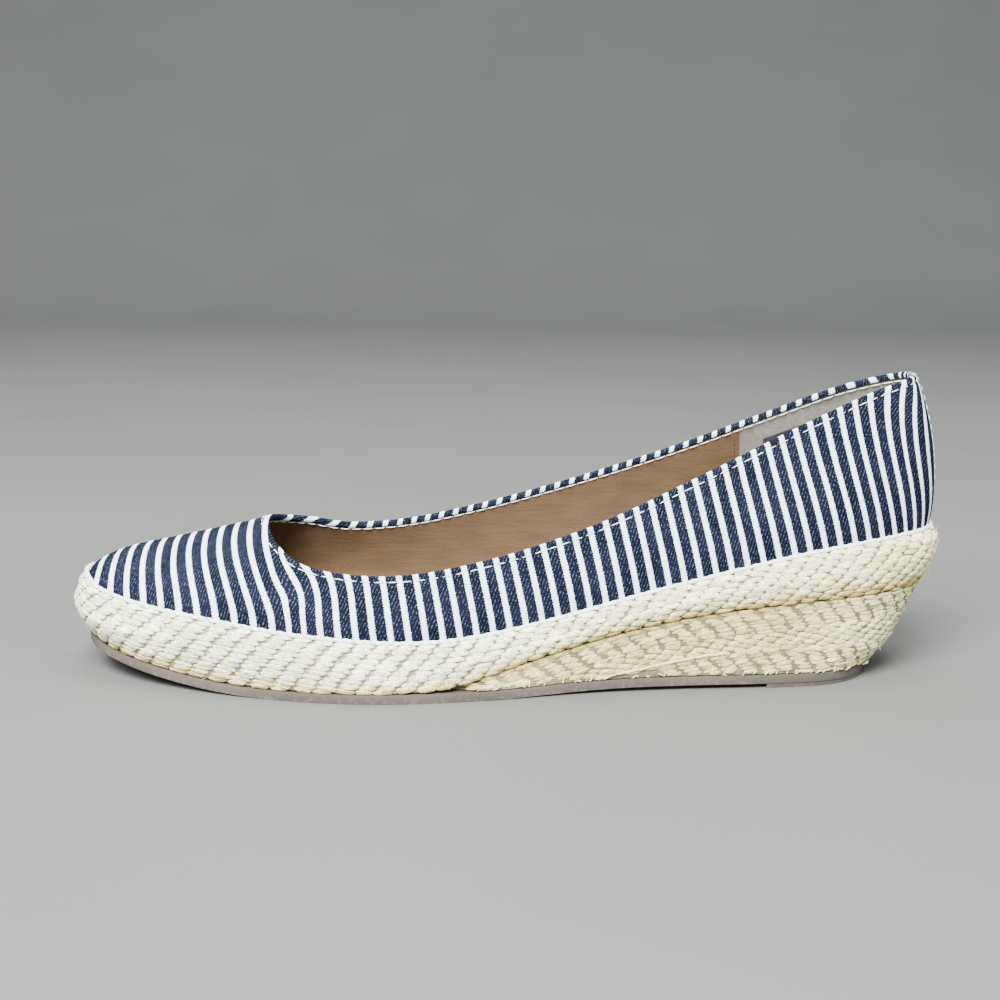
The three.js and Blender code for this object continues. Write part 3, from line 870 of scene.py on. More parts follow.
class EspadrilleSizes(bpy.types.PropertyGroup):
    """Sizes that a user would change."""
    cloth: length_setting("Cloth", "Thickness of the canvas", 0.6)
    fold_depth: length_setting("Fold", "How far the canvas turns in at the topline", 0.35)
    stitch_drop: length_setting("Stitch line", "Topline stitches below the edge", 2.0)
    stitch_length: length_setting("Stitch", "Length of a stitch on the canvas", 2.9)
    stitch_gap: length_setting("Stitch gap", "Cloth between two stitches", 0.9)
    cord_radius: length_setting("Edge cord", "Radius of the white cord on the tape's edge", 0.62)
    yarn_row: length_setting("Tape row", "Distance between rows of the jute tape", 1.48)
    yarn_unit: length_setting("Tape unit", "Step of the tape's twill from row to row", 1.42)
    yarn_length: length_setting("Tape yarn", "Length of a yarn on the tape's face", 5.45)
    wedge_row: length_setting("Wedge row", "Distance between rows of the wedge's cloth", 1.2)
    wedge_unit: length_setting("Wedge unit", "Step of the wedge's twill from row to row", 1.35)
    wedge_yarn: length_setting("Wedge yarn", "Length of a yarn on the wedge's face", 5.35)
    spine_drop: length_setting("Spine", "Herringbone spine below the tape", 7.0)


class EspadrilleLooks(bpy.types.PropertyGroup):
    """Pattern sizes and colours of the finishes."""
    stripe_pitch: length_setting("Stripe pitch", "From one white stripe to the next", 4.7)
    stripe_white: length_setting("White stripe", "Width of a white stripe", 1.8)
    navy_dark: colour_setting("Navy", "Dark yarn of the canvas", 0.0035, 0.0058, 0.0115)
    navy_light: colour_setting("Washed navy", "The same yarn where it has faded", 0.0072, 0.0078, 0.0185)
    stripe_colour: colour_setting("Stripe", "White yarn of the canvas", 0.74, 0.93, 0.96)
    thread_colour: colour_setting("Thread", "Sewing thread and edge cord", 0.88, 0.93, 0.93)
    jute_white: colour_setting("Bleached jute", "Jute at the forefoot", 0.92, 0.93, 0.73)
    jute_straw: colour_setting("Straw jute", "Jute at the heel", 0.90, 0.83, 0.38)
    # Stain colour of the jute; where age runs high at the tape's seam with the wedge it is painted shade.
    jute_stain_and_shade: colour_setting("Stained jute", "Jute along its seams", 0.46, 0.33, 0.12)
    lining_colour: colour_setting("Lining", "Tan lining leather", 0.094, 0.057, 0.028)
    suede_colour: colour_setting("Heel grip", "Grey suede of the heel lining", 0.188, 0.173, 0.152)
    rubber_colour: colour_setting("Rubber", "Taupe outsole", 0.060, 0.054, 0.041)
    floor_colour: colour_setting("Floor", "Studio floor", 0.115, 0.118, 0.112)


# ---- Pieces ------------------------------------------------------------------------------------

CANVAS_BELOW = 3.0  # canvas goes on behind the tape
SIDE_START_LATERAL = 69.8  # where stripe 0 meets the tape on the sides, from the toe
SIDE_START_MEDIAL = 70.8
SIDE_LEAN = 0.13  # how far the side's stripes lean to the toe for each millimetre up
LEAN_FROM = 85  # there, and from there back they lean more
LEAN_GAIN = 0.001
CLOTH_DRIFT = [(70, 0), (100, -0.8), (155, -0.7), (195, 0.2), (240, 1.0), (252, 3.4)]
HEEL_SWING = 2.67  # the stripes swing back round the top of the heel
HEEL_SWING_ROW = 9.5
PARALLEL_ROW = 11.4  # from here to the back seam they come to stand parallel to it
THROAT_PULL = 7.5  # the stripes are pulled forwards at the corners of the throat
THROAT_CORNER = 66.5
PULL_LOW, PULL_RISE = 0.4, 0.54  # shares of the height: where the pull starts, and how soon it is full
PULL_AHEAD, PULL_FADE = 4, 7.5  # it grows no more this far ahead, and fades over this length behind
VAMP_START = 71.9  # where stripe 0 of the vamp meets the tape, from the toe
VAMP_STRETCH = 1.125  # the cloth is stretched over the toe
VAMP_BOW = 0.228  # stripes bow towards the toe, more with each millimetre from the tip
VAMP_BOW_TIP = -2.54
VAMP_BOW_POWER = 2.6
RIDGE = 3.0  # the vamp's crest, towards the inner side of the long axis
CREST = [(5, 26), (20, 33), (40, 39), (57, 43.2)]  # distance from the toe, height above the floor
TURN_LOW = (-11.0, 1.5)  # where stripes of the vamp turn into those of the sides, next to the tape
TURN_HIGH = (-4.5, 6.0)  # and next to the throat
TURN_SHARES = (0.3, 0.8)  # shares of the height between which the one passes into the other


def side_stripes(row, v, points, foot):
    """Across the stripes behind the throat: counted along the tape's edge, they lean to the toe."""
    s, z = points[..., 0], points[..., 2]
    rows = even_rows(40)
    edge = at_height(foot_loop(rows), tape_top(rows))
    run = walked_length(edge)
    heel = len(rows) // 2
    lateral_start = np.interp(SIDE_START_LATERAL, edge[:heel + 1, 0], run[:heel + 1])
    medial_start = np.interp(SIDE_START_MEDIAL, edge[heel:, 0][::-1], run[heel:][::-1])
    here = np.interp(row, rows, run)
    lateral = row <= LAST_ROW
    walked = np.where(lateral, here - lateral_start, medial_start - here)
    heading = unit(foot_loop(row + 1 / STEPS) - foot_loop(row - 1 / STEPS))
    heading = heading * np.where(lateral, 1, -1)[..., None]
    slip = ((points - foot)[..., :2] * heading[..., :2]).sum(-1)

    from_toe = np.minimum(row, ROWS - row)
    lean = SIDE_LEAN + LEAN_GAIN * (s - LEAN_FROM)
    swing = HEEL_SWING * np.clip(from_toe - HEEL_SWING_ROW, 0, None) ** 2 * v ** 3
    parallel = smoothstep(from_toe, PARALLEL_ROW, LAST_ROW)
    leant = (lean * (z - foot[..., 2]) - swing) * (1 - parallel)
    drift = np.interp(foot[..., 0], *zip(*CLOTH_DRIFT))
    high = np.clip((v - PULL_LOW) / PULL_RISE, 0, None) ** 2
    pull = THROAT_PULL * high * np.exp(-np.maximum(s - THROAT_CORNER, -PULL_AHEAD) / PULL_FADE)
    return walked + slip + leant + drift + pull


def vamp_stripes(points):
    """Across the stripes of the vamp, which bow towards the toe."""
    s, y = points[..., 0], points[..., 1]
    rows = even_rows(20, LAST_ROW)
    lateral, medial = foot_loop(rows), foot_loop(ROWS - rows)
    width = np.where(y < RIDGE, RIDGE - np.interp(s, lateral[:, 0], lateral[:, 1]),
                     np.interp(s, medial[:, 0], medial[:, 1]) - RIDGE)
    out = np.clip(np.abs(y - RIDGE) / np.maximum(width, 1), 0, 1)
    bow = (VAMP_BOW * s + VAMP_BOW_TIP) * (1 - out ** VAMP_BOW_POWER)
    return (s + bow - VAMP_START) / VAMP_STRETCH


def along_stripes(row, points, foot, sideways):
    """Along the stripes: over the vamp from its crest, and up the sides from the tape."""
    s, y, z = np.moveaxis(points, -1, 0)
    from_crest = np.hypot(y - RIDGE, np.interp(s, *zip(*CREST)) - z)
    foot_drop = np.interp(foot[..., 0], *zip(*CREST)) - foot[..., 2]
    climbed = np.linalg.norm(points - foot, axis=-1)
    up_side = np.hypot(foot[..., 1] - RIDGE, foot_drop) - climbed
    along = lerp(from_crest, up_side, sideways)
    inner = np.where(sideways < 0.5, y > RIDGE, row > LAST_ROW)
    return np.where(inner, along, -along)


def stripe_map(row, v, points):
    """Place on the cloth in millimetres: across the stripes from stripe 0, and along them."""
    foot = at_height(foot_loop(row), tape_top(row))
    ahead, behind = vamp_stripes(points), side_stripes(row, v, points, foot)
    higher = smoothstep(v, *TURN_SHARES)
    turn_start, turn_end = (lerp(low, high, higher) for low, high in zip(TURN_LOW, TURN_HIGH))
    sideways = smoothstep(ahead, turn_start, turn_end)
    return np.stack([lerp(ahead, behind, sideways), along_stripes(row, points, foot, sideways)], -1)


CLOTH_UNEVEN = 0.12


def settle(points, normals):
    """Soft hollows and swellings of cloth over its stiffener: three trains of waves."""
    s, y, z = np.moveaxis(points, -1, 0)
    wave = (np.sin(s * 0.21 + 1.3 * np.sin(z * 0.11)) * np.sin(z * 0.17 + y * 0.05 + 0.6)
            + 0.6 * np.sin(s * 0.47 + z * 0.31 + 2.1) * np.sin(y * 0.29 + 1.1)
            + 0.4 * np.sin(s * 0.09 + y * 0.13 + z * 0.07))
    return points + normals * (wave * CLOTH_UNEVEN)[..., None]


def finish_piece(piece, material, replaced=()):
    """Gives a piece its finish and ties it to the shoe."""
    piece.data.materials.clear()
    piece.data.materials.append(material)
    deselect()
    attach(piece, "root")
    if replaced:
        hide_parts(*replaced)


def edge_share(row, distance):
    """Share of the wall's height that lies within a distance of the topline."""
    near = 0.1  # share of the height over which it is measured
    top, below = (upper_point(row, np.full(np.shape(row), 1 - drop)) for drop in (0, near))
    return distance * near / np.linalg.norm(top - below, axis=-1)


CANVAS_COLUMNS = 520
HEM_ROWS, FACE_ROWS, ROLL_ROWS, FOLD_ROWS = 3, 44, 8, 4  # of faces, from behind the tape up and over
PUCKER_REACH, PUCKER_DEPTH = 0.6, 0.25  # the row of stitches draws the cloth in
SEAM_REACH, SEAM_DEPTH = 0.035, 0.35  # and so does the back seam, this many rows to either side
ONWARD = 0.05  # share of the height that gives the map's direction over the topline


def canvas_bands(t, sizes):
    """How far a place is along each band of the canvas: hem, face, roll (angle) and fold (depth)."""
    k = np.round(t * (HEM_ROWS + FACE_ROWS + ROLL_ROWS + FOLD_ROWS)) - HEM_ROWS
    hem = np.clip(-k, 0, None) / HEM_ROWS
    face = np.clip(k / FACE_ROWS, 0, 1)
    roll = np.clip((k - FACE_ROWS) / ROLL_ROWS, 0, 1) * math.pi
    fold = np.clip((k - FACE_ROWS - ROLL_ROWS) / FOLD_ROWS, 0, 1) * sizes.fold_depth / MM
    return hem, face, roll, fold


def make_canvas(sizes, looks):
    """The striped canvas: its outer face, the rolled topline and the turned-in fold."""
    radius = UPPER_WALL / 2
    line_rows, line_shares = stitch_line(sizes.stitch_drop / MM)

    def outer(row, v):
        points, normal = upper_point(row, v), upper_normal(row, v)
        from_line = (v - np.interp(row, line_rows, line_shares)) / edge_share(row, 1.0)
        pucker = PUCKER_DEPTH * np.exp(-(from_line / PUCKER_REACH) ** 2)
        seam = SEAM_DEPTH * np.exp(-((row - LAST_ROW) / SEAM_REACH) ** 2)
        return settle(points, normal) - normal * (pucker + seam)[..., None]

    def rolled(row, edge, angle):
        rim, normal = upper_point(row, edge), upper_normal(row, edge)
        up = unit(rim - upper_point(row, edge - 0.02))
        round_ = normal * np.cos(angle)[..., None] + up * np.sin(angle)[..., None]
        return rim - normal * radius + round_ * radius

    def turned_in(row, edge, depth):
        v = edge - edge_share(row, depth)
        return upper_point(row, v) - upper_normal(row, v) * UPPER_WALL

    def place(u, t):
        row = u * ROWS
        edge = 1 - edge_share(row, radius)
        hem, face, angle, fold = canvas_bands(t, sizes)
        points = outer(row, face * edge)
        points[..., 2] -= hem * CANVAS_BELOW
        points = np.where((angle > 0)[..., None], rolled(row, edge, angle), points)
        return np.where((fold > 0)[..., None], turned_in(row, edge, fold), points)

    def cloth(u, t):
        row = u * ROWS
        edge = 1 - edge_share(row, radius)
        _, face, angle, fold = canvas_bands(t, sizes)
        flat, at_edge, before = (
            stripe_map(row, v, upper_point(row, v)) for v in (face * edge, edge, edge - ONWARD)
        )
        return flat + unit(at_edge - before) * (angle * radius + fold)[..., None]

    rows = HEM_ROWS + FACE_ROWS + ROLL_ROWS + FOLD_ROWS
    piece = grid_piece("upper_canvas", CANVAS_COLUMNS, rows, place, cloth)
    close_up(piece)
    add_modifier(piece, "SOLIDIFY", thickness=sizes.cloth, offset=-1.0, use_even_offset=False)
    shade(piece, 60)
    finish_piece(piece, canvas_finish(looks), ["upper"])


LINING_DROP = 0.75  # the lining starts this far below the middle of the topline's roll
LINING_TURN = 0.86  # share of its height at which it reaches the tape's top
LINING_FOOT = 1.0  # it ends this far above the insole's underside
LINING_POINTS = 40
LINING_ROWS = 26
LINING_WALL = 0.5
LINING_UNEVEN = 0.09
STITCH_RECESS = 0.3
HEEL_GRIP_ROW = 9.56  # the heel grip starts here on both sides
GRIP_LAP = 0.12  # and the leather laps over it by this many rows


def inner_wall(row, depth_share, recess):
    """The lining's face from under the fold, 0, down to the footbed, 1, a recess deep in the wall."""
    edge = 1 - edge_share(row, UPPER_WALL / 2 + LINING_DROP)
    v = np.clip(1 - depth_share / LINING_TURN, 0, 1) * edge
    wall = upper_point(row, v) - upper_normal(row, v) * (UPPER_WALL - recess)
    bottom = offset(foot_loop, recess - UPPER_WALL)(row)
    low = at_height(bottom, footbed(row) + GAP + LINING_FOOT)
    high = at_height(bottom, tape_top(row))
    stand = np.clip((depth_share - LINING_TURN) / (1 - LINING_TURN), 0, 1)[..., None]
    return np.where(depth_share[..., None] <= LINING_TURN, wall, lerp(high, low, stand))


def lining_sheet():
    """The lining as a sheet, measured down from under the fold."""
    def profile(rows):
        row, share = np.broadcast_arrays(rows[:, None], np.linspace(0, 1, LINING_POINTS)[None])
        return inner_wall(row, share, STITCH_RECESS)
    return Sheet(profile)


def lining_piece(name, first, last, columns, recess, material):
    """A panel of lining between two rows, a little uneven over the wall."""
    def place(u, t):
        row = lerp(first, last, u)
        points = inner_wall(row, 1 - t, recess)
        s, y, z = np.moveaxis(points, -1, 0)
        wave = (np.sin(s * 0.33 + z * 0.12) * np.sin(z * 0.41 + y * 0.2)
                + 0.5 * np.sin(s * 0.71 + 1.7 + y * 0.31))
        return points + outwards(foot_loop, row) * (wave * LINING_UNEVEN)[..., None]

    piece = grid_piece(name, columns, LINING_ROWS, place)
    close_up(piece)
    turn_inwards(piece)
    add_modifier(piece, "SOLIDIFY", thickness=LINING_WALL * MM, offset=-1.0)
    shade(piece, 60)
    finish_piece(piece, material)


def make_lining(looks):
    """Tan leather round the forefoot and grey suede round the heel, lapped at a sewn seam."""
    lapped = HEEL_GRIP_ROW + GRIP_LAP
    tan = leather_finish("sock_leather", looks.lining_colour, LINING_WORN)
    grey = suede_finish(looks)
    lining_piece("vamp_lining", -lapped, lapped, 340, 0.35, tan)
    lining_piece("heel_lining", HEEL_GRIP_ROW, ROWS - HEEL_GRIP_ROW, 150, 0.7, grey)


def turn_inwards(piece):
    """Faces of a lining look at the foot, so its wall thickens away from it."""
    mesh = piece.data
    centre = np.mean([v.co for v in mesh.vertices], axis=0)
    facing = sum((np.array(p.center) - centre)[:2] @ np.array(p.normal)[:2] for p in mesh.polygons)
    if facing > 0:
        bpy.context.view_layer.objects.active = piece
        edit(lambda: bpy.ops.mesh.flip_normals())


def stitch_line(distance):
    """Even rows, and in each the share of the wall's height that lies a distance from the topline."""
    rows = even_rows(20)
    edge = top_loop(even_rows(60))
    tries = np.linspace(0.999, 0.45, 90)  # shares of the height, from just under the topline down
    found = np.empty(len(rows))
    for k, row in enumerate(rows):
        points = upper_point(np.full(len(tries), row), tries)
        gaps = np.sqrt(((points[:, None] - edge[None]) ** 2).sum(-1)).min(1)
        found[k] = np.interp(distance, gaps, tries)
    return rows, found


STITCH_ARCH = 1.9  # a stitch's ends sink by this many halves of its lift
STITCH_AHEAD = 0.4  # millimetres that give a line's direction


def sewn_stitches(name, line, normals, length, gap, material, rng, width=0.34, lift=0.28, sink=0.08):
    """Stitches end to end along a closed line of points."""
    template, faces = yarn_template(6, 6)
    run = walked_length(line)
    count = int(round(run[-1] / (length + gap)))
    middles = (np.arange(count) + 0.5) * run[-1] / count
    x, y, z = template.T
    places = middles[:, None] + x * length / 2

    def follow(values, places):
        return np.stack([np.interp(places % run[-1], run, values[:, k]) for k in range(3)], -1)

    at, out = follow(line, places), unit(follow(normals, places))
    across = unit(np.cross(out, follow(line, places + STITCH_AHEAD) - at))
    rise = z * lift / 2 + lift / 2 * (1 - STITCH_ARCH * x ** 2) - sink
    side = y * width / 2 * (1 - YARN_TAPER * x ** 4)
    placed = at + across * side[:, None] + out * rise[:, None]
    uvs = np.stack([places, np.broadcast_to(np.arctan2(z, y) / (2 * math.pi), places.shape)], -1)
    piece = repeated_piece(name, placed, faces, {"tone": rng.random(count)}, uvs)
    finish_piece(piece, material)


SEAM_STITCH = 2.1


def stitch_column(name, sheet, along, downs, width, lift, bow, sink, material, rng):
    """A column of stitches that runs down a sheet."""
    template, faces = yarn_template(6, 6)
    placed, uvs, _ = lay_yarns(sheet, template, along, downs, SEAM_STITCH, width, lift, math.pi / 2, bow)
    placed = placed + lowered(sheet, np.full(len(downs), along), downs, -sink)
    piece = repeated_piece(name, placed, faces, {"tone": rng.random(len(downs))}, uvs)
    finish_piece(piece, material)


BACK_SEAM_TOP, BACK_SEAM_FOOT, BACK_SEAM_STEP = 5.0, 2.0, 3.0
BACK_SEAM_SIDE = 1.9  # each row of stitches beside the back seam


def make_stitching(sizes, looks):
    """White stitches along the topline and down the back seam."""
    rng = np.random.default_rng(5)
    material = thread_finish(looks)
    rows, shares = stitch_line(sizes.stitch_drop / MM)
    line = upper_point(rows, shares)
    line[-1] = line[0]
    sewn_stitches("topline_stitches", line, upper_normal(rows, shares), sizes.stitch_length / MM,
                  sizes.stitch_gap / MM, material, rng)

    canvas = Sheet(canvas_profile)
    heel = canvas.edge(LAST_ROW)
    downs = np.arange(BACK_SEAM_TOP, float(canvas.room(heel)) - BACK_SEAM_FOOT, BACK_SEAM_STEP)
    for side, aside in (("lateral", -BACK_SEAM_SIDE), ("medial", BACK_SEAM_SIDE)):
        stitch_column("back_seam_stitches_" + side, canvas, heel + aside, downs, 0.4, 0.3, 0.9, 0.0,
                      material, rng)


def lowered(sheet, a, w, distance):
    """A shift along the sheet's normal for whole copies."""
    return (sheet.point(a, w, distance) - sheet.point(a, w, 0.0))[:, None]


FOLD_LINE = 0.012  # share of the lining's height where its top edge is sewn
FOLD_STITCH, FOLD_STITCH_GAP = 3.6, 0.02
GRIP_TOP, GRIP_FOOT, GRIP_STEP = 3.5, 24, 2.6
GRIP_INSET = 0.06  # rows from the seam to its stitches


def make_inner_stitching(looks):
    """Thread under the fold inside and along the seam of the heel grip."""
    rng = np.random.default_rng(6)
    rows = even_rows(20)
    line = inner_wall(rows, np.full(len(rows), FOLD_LINE), 0.0)
    line[-1] = line[0]
    inwards = -upper_normal(rows, np.full(len(rows), 0.9))
    sewn_stitches("fold_stitches", line, inwards, FOLD_STITCH, FOLD_STITCH_GAP, thread_finish(looks),
                  rng, width=0.42, lift=0.3, sink=0.14)

    wall = lining_sheet()
    brown = leather_finish("brown_thread", *BROWN_THREAD_COLOURS)
    downs = np.arange(GRIP_TOP, GRIP_FOOT, GRIP_STEP)
    seam = HEEL_GRIP_ROW + GRIP_INSET
    for side, row in (("lateral", seam), ("medial", ROWS - seam)):
        stitch_column("grip_stitches_" + side, wall, float(wall.edge(row)), downs, 0.45, 0.35, 0.6, 0.3,
                      brown, rng)


CORD_OUT, CORD_UP = 0.55, 0.42  # the cord's middle from the canvas's foot
CORD_COLUMNS, CORD_SIDES, CORD_PLIES = 1500, 8, 2
CORD_TWIST = 2.6  # millimetres for each ply's half turn
PLY_DEPTH = 0.16
CORD_MAP = 0.35


def make_edge_cord(sizes, looks):
    """The white cord that covers the tape's top edge against the canvas."""
    def centre(row):
        return at_height(offset(foot_loop, CORD_OUT)(row), tape_top(row) + CORD_UP)

    rows = even_rows(80)
    run = walked_length(centre(rows))
    half_turns = round(run[-1] / CORD_TWIST)

    def place(u, t):
        row = np.where(u >= 1, ROWS, np.interp(u * run[-1], run, rows))
        angle = t * 2 * math.pi
        ply = 1 + PLY_DEPTH * np.cos(CORD_PLIES * (angle - u * half_turns * math.pi))
        reach = (sizes.cord_radius / MM * ply)[..., None]
        up = np.array([0, 0, 1.0])
        side = outwards(foot_loop, row)
        return centre(row) + (side * np.cos(angle)[..., None] + up * np.sin(angle)[..., None]) * reach

    def thread_map(u, t):
        return np.stack([u * run[-1] * CORD_MAP, t], -1)

    piece = grid_piece("edge_cord", CORD_COLUMNS, CORD_SIDES, place, thread_map)
    close_up(piece)
    shade(piece, 70)
    finish_piece(piece, thread_finish(looks))


# How unevenly a jute cloth is woven: spreads of its yarns' places, sizes, lie, shade and age.
TAPE_WEAVE = {
    "along_spread": 0.22, "length_spread": 0.05, "width": 1.3, "width_spread": 0.09, "lift": 0.5,
    "lift_spread": 0.16, "tilt_spread": 0.06, "bow": 0.66, "tone": 0.55, "tone_spread": 0.26,
    "age_spread": 0.06,
}
WEDGE_WEAVE = {
    "along_spread": 0.2, "length_spread": 0.1, "width": 1.42, "width_spread": 0.13, "lift": 0.52,
    "lift_spread": 0.18, "tilt_spread": 0.1, "bow": 0.6, "tone": 0.5, "tone_spread": 0.28,
    "age_spread": 0.07,
}
DOWN_SPREAD = 0.09
YARN_SINK = 0.2  # yarns are pressed this far into the cloth's surface
TWILL_SPAN = 4  # units from one yarn to the next in its row


def yarn_centres(sheet, row_step, unit_step, first, margin, shift):
    """Where twill yarns lie, along and down, a row at a time: shift says by how many units each is moved.

    A yarn is left out where the sheet ends less than a margin below it."""
    per_turn = int(round(sheet.length / (TWILL_SPAN * unit_step)))
    unit_step = sheet.length / per_turn / TWILL_SPAN
    starts = TWILL_SPAN * np.arange(per_turn)
    centres = []
    for r in range(int(sheet.depth.max() / row_step) + 1):
        w = first + r * row_step
        a = (starts + shift(r, starts * unit_step, w)) * unit_step
        a = a[w < sheet.room(a) - margin]
        centres.append(np.stack([a, np.full(len(a), w)], -1))
    return np.concatenate(centres)


def woven_piece(name, sheet, yarn, centres, length, row_step, tilt, age_and_shade, weave, rng):
    """Jute yarns laid on a sheet: tilt and age, which holds painted shade too, are functions of where they
    lie.
    """
    template, faces = yarn
    a, w = centres.T
    n = len(a)
    a = a + rng.normal(0, weave["along_spread"], n)
    w = w + rng.normal(0, DOWN_SPREAD, n)
    s = sheet.point(a, w)[:, 0]
    lengths = length * rng.normal(1, weave["length_spread"], n)
    widths = row_step * weave["width"] * rng.normal(1, weave["width_spread"], n)
    lifts = weave["lift"] * rng.normal(1, weave["lift_spread"], n)
    tilts = tilt(s) + rng.normal(0, weave["tilt_spread"], n)
    placed, uvs, down = lay_yarns(sheet, template, a, w, lengths, widths, lifts, tilts, weave["bow"], rng)
    placed = placed + lowered(sheet, a, w, -YARN_SINK)
    tones = np.clip(rng.normal(weave["tone"], weave["tone_spread"], n), 0, 1)
    ages_and_shades = age_and_shade(s[:, None], down, sheet.room(a)[:, None]) + rng.normal(0, weave["age_spread"], (n, 1))
    return repeated_piece(name, placed, faces, {"age_and_shade": ages_and_shades, "tone": tones}, uvs)


def tape_age_and_shade(s, down, room):
    """How straw-coloured the tape is, more so towards the heel; along its foot it darkens further, partly
    stain and partly painted shade at the seam below.
    """
    heelward = 0.05 + 0.6 * smoothstep(s, 80, 200)
    # Darker towards the tape's foot: partly stain, partly painted shade where the tape turns under to the
    # wedge.
    foot = smoothstep(down / room, 0.62, 0.94) * (1.0 - 0.35 * smoothstep(s, 150, 190))
    return heelward + foot


def tape_tilt(s):
    """The tape's yarns lean one way at the forefoot and the other behind it."""
    return np.radians(7 - 12 * smoothstep(s, 85, 150))


GROUND_COLUMNS, GROUND_FACE_ROWS, GROUND_BACK_ROWS = 624, 20, 5
GROUND_SINK = 0.36  # the ground lies this far below the tape's own surface
GROUND_MAP = (300, 4)
TAPE_FIRST, TAPE_MARGIN = 1.05, 0.75  # yarns from the tape's edges


GROUND_LIP, GROUND_LIFT = 0.3, 0.1  # its back starts this far under the tape's top, and ends above its foot


def make_tape_ground(sheet, looks):
    """Closed ground under the tape's yarns, its colour dimmed with painted shade so the gaps between them
    read dark.
    """
    def place(u, t):
        row = u * ROWS
        k = np.round(t * (GROUND_FACE_ROWS + GROUND_BACK_ROWS))
        a = sheet.edge(row)
        room = sheet.room(a)
        low, high = foot_seam(row), tape_top(row)
        bed = np.minimum(footbed(row), high)
        back = offset(foot_loop, GAP)(row)
        under = offset(seam_outer, -BAND_THICKNESS)(row)
        ring = np.stack([
            sheet.point(a, room * (1 - np.clip(k / GROUND_FACE_ROWS, 0, 1)), -GROUND_SINK),
            at_height(back, high - GROUND_LIP),
            at_height(back, (high + bed) / 2),
            at_height(back, bed),
            at_height(under, low + GROUND_LIFT),
            sheet.point(a, room, -GROUND_SINK),
        ])
        step = np.clip(k - GROUND_FACE_ROWS, 0, GROUND_BACK_ROWS).astype(int)
        return np.take_along_axis(ring, step[None, :, None], 0)[0]

    def jute_map(u, t):
        return np.stack([u, t], -1) * GROUND_MAP

    base = grid_piece("tape_ground", GROUND_COLUMNS, GROUND_FACE_ROWS + GROUND_BACK_ROWS, place, jute_map)
    close_up(base)
    add_attribute(base, "age_and_shade", 0.6)
    add_attribute(base, "tone", 0.4)
    shade(base, 60)
    # The ground's colour is dimmed to 0.36: painted shade between the yarns.
    finish_piece(base, jute_finish("tape_ground", looks, 0.36, 0.2), ["jute_band"])


def make_tape(sizes, looks):
    """The jute tape: a ground darkened with painted shade for the gaps, and the yarns woven over it."""
    sheet = Sheet(tape_profile)
    make_tape_ground(sheet, looks)
    row_step = sizes.yarn_row / MM

    def shift(r, a, w):
        """The twill steps back by one unit in each row."""
        return -r
    centres = yarn_centres(sheet, row_step, sizes.yarn_unit / MM, TAPE_FIRST, TAPE_MARGIN, shift)
    weave = woven_piece("tape_weave", sheet, yarn_template(8, 8), centres, sizes.yarn_length / MM,
                        row_step, tape_tilt, tape_age_and_shade, TAPE_WEAVE, np.random.default_rng(11))
    finish_piece(weave, jute_finish("band_jute", looks, 1.0, 0.18))


WEDGE_FIRST, WEDGE_MARGIN = 0.75, 0.35  # yarns from the wedge's edges
WEDGE_WEAVE_FRONT = 112.5  # and from the toe
SELVEDGE_ROOM = 0.4  # cloth kept free on either side of the selvedge
BELOW_SHIFT = 2  # units by which the cloth below the selvedge is moved on


def selvedge_height(s):
    """The raised selvedge on the wedge, above the floor, that climbs from the waist to the heel."""
    return 3.2 + 7.3 * smoothstep(s, 140, 196) + 1.2 * smoothstep(s, 186, 230)


def wedge_tilt(s):
    """The wedge's yarns all lean alike."""
    return np.full(len(s), -math.radians(11))


def wedge_age_and_shade(s, down, _room):
    """How straw-coloured the wedge is, less at the back of the heel; the darkening just under the tape is
    painted shadow of the tape above.
    """
    # The rise just under the tape is painted shadow of the tape's overhang.
    return 0.95 + 0.3 * (1 - smoothstep(down, 0.2, 2.4)) - 0.3 * smoothstep(s, 195, 240)


def make_wedge(sizes, looks):
    """Herringbone jute cloth over the wedge, its selvedge yarn and its frayed foot."""
    rng = np.random.default_rng(17)
    ground_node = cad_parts["wedge_midsole"]
    ground_node.data.materials.clear()
    ground_node.data.materials.append(wedge_ground_finish())

    sheet = Sheet(wedge_profile)
    yarn = yarn_template(8, 6)
    row_step = sizes.wedge_row / MM
    spine_row = sizes.spine_drop / MM / row_step

    def shift(r, a, w):
        """The twill steps on down to the spine and back from there, and on again under the selvedge."""
        s, _, z = np.moveaxis(sheet.point(a, w), -1, 0)
        herringbone = r if r <= spine_row else 2 * spine_row - r
        return np.where(z < selvedge_height(s) - SELVEDGE_ROOM, r + BELOW_SHIFT, herringbone)
    centres = yarn_centres(sheet, row_step, sizes.wedge_unit / MM, WEDGE_FIRST, WEDGE_MARGIN, shift)
    centres = centres[sheet.point(*centres.T)[:, 0] > WEDGE_WEAVE_FRONT]
    weave = woven_piece("wedge_weave", sheet, yarn, centres, sizes.wedge_yarn / MM, row_step,
                        wedge_tilt, wedge_age_and_shade, WEDGE_WEAVE, rng)
    # The wedge's jute is dimmed to 0.9: a little painted shade.
    finish_piece(weave, jute_finish("wedge_jute", looks, 0.9, 0.3))
    make_selvedge(sheet, yarn, rng, looks)
    make_fringe(sheet, yarn, rng, looks)


def yarn_shades(rng, count, age_and_shade, tone):
    """Ages and tones of yarns between 0 and 1, each given as its middle and its spread."""
    return {
        "age_and_shade": np.clip(rng.normal(*age_and_shade, count), 0, 1),
        "tone": np.clip(rng.normal(*tone, count), 0, 1),
    }


SELVEDGE_FRONT, SELVEDGE_BACK, SELVEDGE_STEP = 148.0, 192.0, 2.1
SELVEDGE_YARN, SELVEDGE_WIDTH, SELVEDGE_LIFT, SELVEDGE_BOW = 3.4, 0.62, 0.55, 0.35
SELVEDGE_RAISED = 0.1
TAPE_CLIMB = 0.16  # slope, along the selvedge, of the edge that the wedge's sheet hangs from


